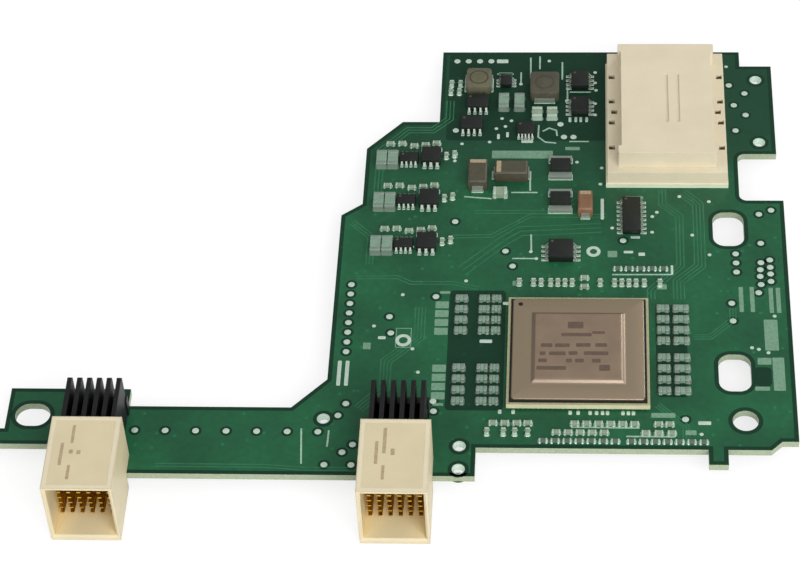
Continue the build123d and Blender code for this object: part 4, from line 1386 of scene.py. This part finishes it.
class CARD_OT_stage(bpy.types.Operator):
    """Set up the floor, lamps, room light and camera"""

    bl_idname = "card.stage"
    bl_label = "Set the stage"

    def execute(self, context):
        look = context.scene.card_stage
        self.floor(look)
        self.lamps(look)
        self.room(look)
        self.camera(look)
        context.scene.view_settings.view_transform = "Standard"
        return {"FINISHED"}

    def floor(self, look):
        """A large flat sheet under the card's lowest point, nearly white to the eye but still shaded."""
        reach = 3.0
        corner = 0.1
        below = 0.5 * MM
        white_share = 0.68
        white_glow = 1.1
        base = CAD_BOX[0][2] - below
        outline = stacked_outlines([(0, 0)], (reach, reach), base, 0, corner, [(0, 0, 0)])[0, 0]
        made, tree, shader = new_material("matt_floor", look.floor, roughness=0.9)
        path = add_node(tree, "LightPath").outputs
        seen = either(tree, path["Is Camera Ray"], path["Is Glossy Ray"])
        seen = either(tree, seen, path["Is Transmission Ray"])
        share = scaled(tree, seen, white_share)
        glow = add_node(tree, "Emission", {"Color": (1, 1, 1, 1), "Strength": white_glow})
        blend = add_node(tree, "MixShader", None, {0: share, 1: shader.outputs[0], 2: glow.outputs[0]})
        tree.links.new(blend.outputs[0], tree.nodes["Material Output"].inputs["Surface"])
        mesh = bpy.data.meshes.new("floor")
        mesh.from_pydata(outline, [], [list(range(len(outline)))])
        mesh.materials.append(made)
        floor = bpy.data.objects.new("floor", mesh)
        bpy.context.scene.collection.objects.link(floor)

    def lamps(self, look):
        """A large soft lamp high at the front right, a weaker one at the left, a small one behind."""
        middle = Vector((-0.06, 0.04, 0.0))
        for name, place, size, power in (
            ("key_lamp", (0.36, -0.88, 0.7), 0.9, look.key_power),
            ("fill_lamp", (-0.8, -0.1, 0.7), 0.8, look.fill_power),
            ("rim_lamp", (0.62, 0.74, 0.4), 0.4, look.rim_power),
        ):
            lamp = bpy.data.lights.new(name, "AREA")
            lamp.shape = "SQUARE"
            lamp.size = size
            lamp.energy = power
            holder = bpy.data.objects.new(name, lamp)
            holder.location = place
            holder.rotation_euler = (middle - Vector(place)).to_track_quat("-Z", "Y").to_euler()
            bpy.context.scene.collection.objects.link(holder)

    def room(self, look):
        """Light from all round, strongest at the front, while the backdrop itself stays white to the eye."""
        front = -0.9
        behind = 0.75
        world = bpy.data.worlds.new("studio_room")
        world.use_nodes = True
        bpy.context.scene.world = world
        tree = world.node_tree
        background = tree.nodes["Background"]
        path = add_node(tree, "LightPath").outputs
        direction = add_node(tree, "TexCoord").outputs["Generated"]
        back = add_node(tree, "SeparateXYZ", None, {0: direction}).outputs["Y"]
        settings = {"From Min": front, "From Max": behind, "To Min": 1.0, "To Max": look.room_back}
        side = add_node(tree, "MapRange", settings, {"Value": back})
        settings = {"To Min": look.room, "To Max": 1.0}
        level = add_node(tree, "MapRange", settings, {"Value": path["Is Glossy Ray"]})
        links = {0: side.outputs["Result"], 1: level.outputs["Result"]}
        light = add_node(tree, "Math", {"operation": "MULTIPLY"}, links).outputs[0]
        seen = either(tree, path["Is Camera Ray"], path["Is Transmission Ray"])
        strength = add_node(tree, "MapRange", {"To Max": 1.0}, {"Value": seen, "To Min": light})
        tree.links.new(strength.outputs["Result"], background.inputs["Strength"])
        background.inputs["Color"].default_value = (1.0, 1.0, 1.0, 1.0)

    def camera(self, look):
        """The view of the photograph: place, direction, roll and lens."""
        camera = bpy.data.cameras.new("camera")
        camera.lens = look.lens
        camera.sensor_width = 36.0
        camera.clip_end = 20.0
        holder = bpy.data.objects.new("camera", camera)
        turn = Matrix.Rotation(look.azimuth, 4, "Z")
        tilt = Matrix.Rotation(math.pi / 2 - look.elevation, 4, "X")
        roll = Matrix.Rotation(look.roll, 4, "Z")
        holder.matrix_world = Matrix.Translation(look.camera_place) @ turn @ tilt @ roll
        bpy.context.scene.collection.objects.link(holder)
        bpy.context.scene.camera = holder


class CARD_PT_panel(bpy.types.Panel):
    """Builds the card's looks piece by piece"""

    bl_idname = "CARD_PT_panel"
    bl_label = "Mezzanine network card"
    bl_space_type = "VIEW_3D"
    bl_region_type = "UI"
    bl_category = "Card"

    def draw(self, context):
        for operator in OPERATORS:
            self.layout.operator(operator.bl_idname)
        for group in GROUPS:
            box = self.layout.box()
            settings = getattr(context.scene, group)
            for name in type(settings).__annotations__:
                box.prop(settings, name)


GROUPS = {
    "card_board": BoardSettings,
    "card_connectors": ConnectorSettings,
    "card_parts": PartSettings,
    "card_stage": StageSettings,
}
OPERATORS = (
    CARD_OT_board,
    CARD_OT_traces,
    CARD_OT_pads,
    CARD_OT_print,
    CARD_OT_controller,
    CARD_OT_connectors,
    CARD_OT_packages,
    CARD_OT_power_parts,
    CARD_OT_chips,
    CARD_OT_stage,
)


def register():
    """Registers the settings, the operators and the panel."""
    for name, group in GROUPS.items():
        bpy.utils.register_class(group)
        setattr(bpy.types.Scene, name, PointerProperty(type=group))
    for operator in OPERATORS:
        bpy.utils.register_class(operator)
    bpy.utils.register_class(CARD_PT_panel)


def unregister():
    """Takes the panel, the operators and the settings out again."""
    bpy.utils.unregister_class(CARD_PT_panel)
    for operator in reversed(OPERATORS):
        bpy.utils.unregister_class(operator)
    for name, group in GROUPS.items():
        delattr(bpy.types.Scene, name)
        bpy.utils.unregister_class(group)


def main():
    """Builds every piece in order."""
    register()
    for operator in OPERATORS:
        group, action = operator.bl_idname.split(".")
        getattr(getattr(bpy.ops, group), action)()


if __name__ == "__main__":
    main()
